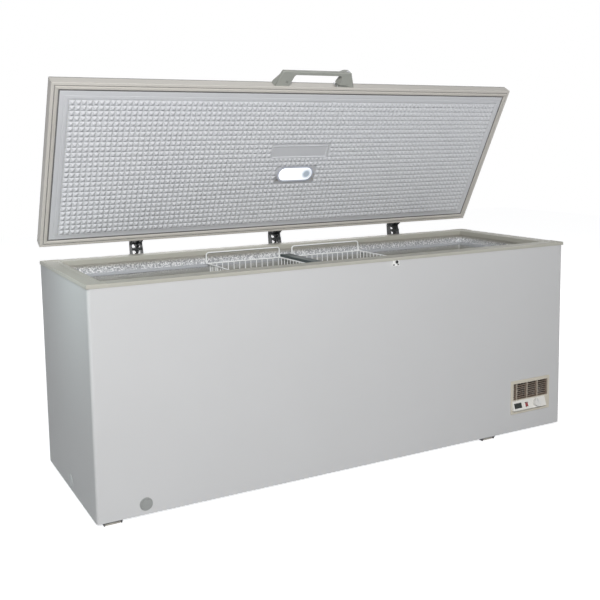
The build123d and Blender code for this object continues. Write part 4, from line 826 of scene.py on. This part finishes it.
# Wire baskets, in the places of their solids.
frame_wire, frame_bend = 2.5, 11.0
mesh_wire, mesh_bend = 1.6, 8.0
coat = 0.4
basket_length = 340.0
basket_depth = 205.0
ear_height = 43.0
ear_gap = 4.0
basket_z = ledge_z + frame_wire
floor_z = basket_z - basket_depth
ear_z = basket_z + ear_height
ear_y = half_depth - rim_width - ear_gap - frame_wire
basket_wall = 260.415
wall_y = basket_wall - frame_wire
wall_wire_count = 13
side_wire_count = 19
basket_places = {"left": -196.0, "right": 200.0}
for side, centre_x in basket_places.items():
    half = basket_length / 2 - frame_wire
    left, right = centre_x - half, centre_x + half
    thick = [
        ([(left, mid_y - ear_y, basket_z), (left, mid_y + ear_y, basket_z)], False),
        ([(right, mid_y - ear_y, basket_z), (right, mid_y + ear_y, basket_z)], False),
    ]
    for end in (-1, 1):
        y = mid_y + end * ear_y
        thick.append(([
            (left, y, basket_z), (left, y, ear_z), (right, y, ear_z), (right, y, basket_z),
        ], False))
        thick.append(([
            (left, mid_y + end * wall_y, basket_z), (right, mid_y + end * wall_y, basket_z),
        ], False))
    thick.append(([
        (left, mid_y - wall_y, floor_z), (right, mid_y - wall_y, floor_z),
        (right, mid_y + wall_y, floor_z), (left, mid_y + wall_y, floor_z),
    ], True))
    touch = frame_wire + mesh_wire
    thin = []
    for i in range(wall_wire_count):
        x = left + (i + 0.5) * (right - left) / wall_wire_count
        thin.append(([
            (x, mid_y - wall_y + touch, basket_z + 1), (x, mid_y - wall_y + touch, floor_z + touch),
            (x, mid_y + wall_y - touch, floor_z + touch), (x, mid_y + wall_y - touch, basket_z + 1),
        ], False))
    for i in range(side_wire_count):
        y = mid_y - wall_y + touch + (i + 0.5) * 2 * (wall_y - touch) / side_wire_count
        for x in (left + touch, right - touch):
            thin.append(([(x, y, basket_z + 1), (x, y, floor_z - frame_wire)], False))
    basket = joined(f"{side}_wire_basket", [
        wires(f"{side}_basket_frame", thick, frame_wire + coat, frame_bend, coated_wire, 12),
        wires(f"{side}_basket_mesh", thin, mesh_wire + coat, mesh_bend, coated_wire, 8, steps=3),
    ])
    piece(f"{side}_wire_basket", basket, f"{side}_basket", "basket_coating", f"basket_{side}")

# Hinge springs: helical coils with flat ends, pressed shorter by their plungers.
seat_z = rim_z - 110.0
spring_top = 816.3
spring_y = pivot_y - 15.0
spring_turns = 9
spring_wire = 1.55
coil_radius = 8.6
turn_points = 20
end_inset = 1.7
low, high = seat_z + end_inset, spring_top - end_inset
drop = 3.2              # rise of each end turn, which closes onto the one beside it
helices = []
for x in hinge_xs:
    line = []
    for i in range(spring_turns * turn_points + 1):
        turn = i / turn_points
        share = min(max((turn - 1) / (spring_turns - 2), 0.0), 1.0)
        z = low + drop + (high - low - 2 * drop) * share
        z -= drop * max(1 - turn, 0.0)
        z += drop * max(turn - spring_turns + 1, 0.0)
        angle = 2 * pi * turn
        line.append((x + coil_radius * cos(angle), spring_y + coil_radius * sin(angle), z))
    helices.append((line, False))
coils = wires("coil_springs", helices, spring_wire, 0.0, spring_steel, 8, steps=1)
springs = piece("coil_springs", coils, "cabinet", "spring_steel", "hinge_springs")
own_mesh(springs)

# Pointer on the knob: a dark insert in its groove. The first three lines are the middle of
# the control box's sloping face and its outward and upward directions.
face_mid = Vector((829.5, -360.892, 131.75))
face_out = Vector((0, -0.94988, 0.31262))
face_up = Vector((0, 0.31262, 0.94988))
knob_shift = Vector((34.5, 0, 0))
knob_gap, knob_height = 0.8, 14.0
pointer_half, pointer_start, pointer_end = 0.7, 1.4, 15.2
knob_front = face_mid + knob_shift + face_out * (knob_gap + knob_height)
pointer = []
for depth in (-0.75, -0.15):
    for across, up in (
        (-pointer_half, pointer_start), (pointer_half, pointer_start),
        (pointer_half, pointer_end), (-pointer_half, pointer_end),
    ):
        pointer.append(knob_front + Vector((across, 0, 0)) + face_up * up + face_out * depth)
pointer_faces = [
    (0, 1, 2, 3), (4, 7, 6, 5), (0, 4, 5, 1), (1, 5, 6, 2), (2, 6, 7, 3), (3, 7, 4, 0),
]
pointer_mesh = outward(mesh_of("knob_pointer", pointer, pointer_faces, to_metres, black_abs))
piece("knob_pointer", pointer_mesh, "knob", "black_plastic")

# Two dark screws on the keeper's plate.
keeper_x, keeper_z, keeper_plate = 155.0, 777.0, 3.0
screw_reach, screw_radius = 9.5, 3.3
keeper_screws = joined("keeper_screws", [
    stepped_plate(
        f"keeper_screw_{x:.0f}", (0, 0), (screw_radius, screw_radius), screw_radius,
        [(0.0, -0.3), (0.0, 0.9), (0.9, 1.4)],
        on_front(x, front_y - keeper_plate, keeper_z), black_abs,
    )
    for x in (keeper_x - screw_reach, keeper_x + screw_reach)
])
piece("keeper_screws", keeper_screws, "cabinet", "black_plastic")

# Handle: the moulding's bar is thinner than its legs, and its opening a little wider.
handle_reach = 62.0
leg_thick, bar_thick = 36.0, 15.0
bar_y = front_y - handle_reach
handle_foot = lid_z + 5.0
handle_top = handle_foot + leg_thick
bar_top = handle_foot + bar_thick


def over_bar(x, at_bar, at_leg):
    """Side outline of the space above the bar, at one place along it."""
    return [
        (x, front_y - 3.0, handle_top + 3.0), (x, front_y - 3.0, at_leg), (x, bar_y + 17.0, at_bar),
        (x, bar_y - 3.0, at_bar), (x, bar_y - 3.0, handle_top + 3.0),
    ]


over = loft("over_bar", [
    over_bar(-176.0, bar_top, handle_top), over_bar(112.0, bar_top, handle_top),
    over_bar(150.0, handle_top, handle_top + 0.5),
], opened)
opening = [
    (-106.0, front_y + 2.0), (-89.5, bar_y + 21.0), (-83.0, bar_y + 14.5), (120.0, bar_y + 14.5),
    (126.5, bar_y + 20.5), (118.0, front_y + 2.0),
]
through = loft("grip_opening", [
    [(x, y, z) for x, y in opening] for z in (handle_foot - 2.0, handle_top + 2.0)
], opened)
handle_source = cad["lid_handle"].data.copy()
handle_source.transform(cad["lid_handle"].matrix_world)
handle_shape = taken_away("handle_moulding", handle_source, [over, through])
piece("handle_moulding", handle_shape, "lid", "handle_plastic", "lid_handle")

# Studio: a floor and a world that show white to the camera and in reflections, and soft lights.


def seen_rays(tree):
    """1 for the rays that show the background, straight, mirrored or through glass."""
    rays = put(tree, "ShaderNodeLightPath").outputs
    straight = put(tree, "ShaderNodeMath", {
        0: rays["Is Camera Ray"], 1: rays["Is Transmission Ray"],
    }, operation="MAXIMUM")
    return put(tree, "ShaderNodeMath", {
        0: straight.outputs["Value"], 1: rays["Is Glossy Ray"],
    }, operation="MAXIMUM")


floor_mesh = bpy.data.meshes.new("studio_floor")
floor_half = 9.0
floor_mesh.from_pydata([
    (-floor_half, -floor_half, 0), (floor_half, -floor_half, 0),
    (floor_half, floor_half, 0), (-floor_half, floor_half, 0),
], [], [(0, 1, 2, 3)])
floor = bpy.data.objects.new("studio_floor", floor_mesh)
bpy.context.scene.collection.objects.link(floor)
floor_paint = bpy.data.materials.new("pale_studio_floor")
floor_paint.use_nodes = True
tree = floor_paint.node_tree
tree.nodes.clear()
seen = seen_rays(tree)
paint = put(tree, "ShaderNodeBsdfDiffuse", {"Color": linear("#EDEDED")})
bounce = put(tree, "ShaderNodeBsdfDiffuse", {"Color": linear("#B4B6B9")})
# The glow grows away from the object, so that the far floor is as white as the world; its lower
# glow near the object paints a shade round it.
glow_near, glow_far = 1.1, 3.2
away = put(tree, "ShaderNodeVectorMath", {
    0: put(tree, "ShaderNodeTexCoord").outputs["Object"],
}, operation="LENGTH")
growth = put(tree, "ShaderNodeMapRange", {
    "Value": away.outputs["Value"], "From Min": glow_near, "From Max": glow_far,
    "To Min": 0.66, "To Max": 0.90,
})
glow = put(tree, "ShaderNodeEmission", {
    "Color": (1, 1, 1, 1), "Strength": growth.outputs["Result"],
})
both = put(tree, "ShaderNodeAddShader", {0: paint.outputs[0], 1: glow.outputs[0]})
mixed = put(tree, "ShaderNodeMixShader", {
    0: seen.outputs["Value"], 1: bounce.outputs[0], 2: both.outputs[0],
})
put(tree, "ShaderNodeOutputMaterial", {"Surface": mixed.outputs[0]})
floor_mesh.materials.append(floor_paint)
floor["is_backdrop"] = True

scene = bpy.context.scene
world = bpy.data.worlds.new("studio")
scene.world = world
world.use_nodes = True
tree = world.node_tree
tree.nodes.clear()
seen = seen_rays(tree)
# Other rays see a dim room, a little brighter towards its left.
sky = put(tree, "ShaderNodeSeparateXYZ", {
    "Vector": put(tree, "ShaderNodeTexCoord").outputs["Generated"],
})
level = put(tree, "ShaderNodeMapRange", {
    "Value": sky.outputs["X"], "From Min": -1.0, "From Max": 1.0, "To Min": 0.11, "To Max": 0.10,
})
soft = put(tree, "ShaderNodeBackground", {
    "Color": linear("#EAEDF2"), "Strength": level.outputs["Result"],
})
white = put(tree, "ShaderNodeBackground", {"Color": (1, 1, 1, 1), "Strength": 1.0})
mixed = put(tree, "ShaderNodeMixShader", {
    0: seen.outputs["Value"], 1: soft.outputs[0], 2: white.outputs[0],
})
put(tree, "ShaderNodeOutputWorld", {"Surface": mixed.outputs[0]})


def soft_light(name, place, aim, size, power, colour="#FFFFFF", spread=180):
    """A square lamp pointed at a place."""
    data = bpy.data.lights.new(name, "AREA")
    data.size = size
    data.energy = power
    data.spread = radians(spread)
    data.color = linear(colour)[:3]
    lamp = bpy.data.objects.new(name, data)
    lamp.location = place
    lamp.rotation_euler = (Vector(aim) - Vector(place)).to_track_quat("-Z", "Y").to_euler()
    scene.collection.objects.link(lamp)


soft_light("key_upper_left", (-2.2, -4.6, 2.9), (0, 0, 0.7), 0.8, 236.0)
soft_light("front_fill", (2.2, -5.0, 2.2), (0.6, 0, 0.5), 2.0, 20.0)
soft_light("left_top", (-1.42, -0.26, 1.08), (-1.0, -0.1, 0.6), 0.4, 0.8, "#DCEEEE", 110)
soft_light("back_fill", (1.5, 4.0, 3.2), (0, 0, 0.8), 3.0, 60.0)

# Camera at the photograph's place: focal length and shift from a fit to the cabinet's edges.
focal_px = 871.2
frame_px = 600
centre_px = (311.23, 243.37)
camera_data = bpy.data.cameras.new("camera")
camera_data.sensor_width = 36.0
camera_data.lens = focal_px / frame_px * camera_data.sensor_width
camera_data.shift_x = (frame_px / 2 - centre_px[0]) / frame_px
camera_data.shift_y = (centre_px[1] - frame_px / 2) / frame_px
camera = bpy.data.objects.new("camera", camera_data)
camera.location = (-1.697, -3.0479, 1.2467)
camera.rotation_euler = Euler((radians(83.268), radians(0.765), radians(-28.98)))
scene.collection.objects.link(camera)
scene.camera = camera

scene.view_settings.view_transform = "Standard"

bpy.context.view_layer.update()
low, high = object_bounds()
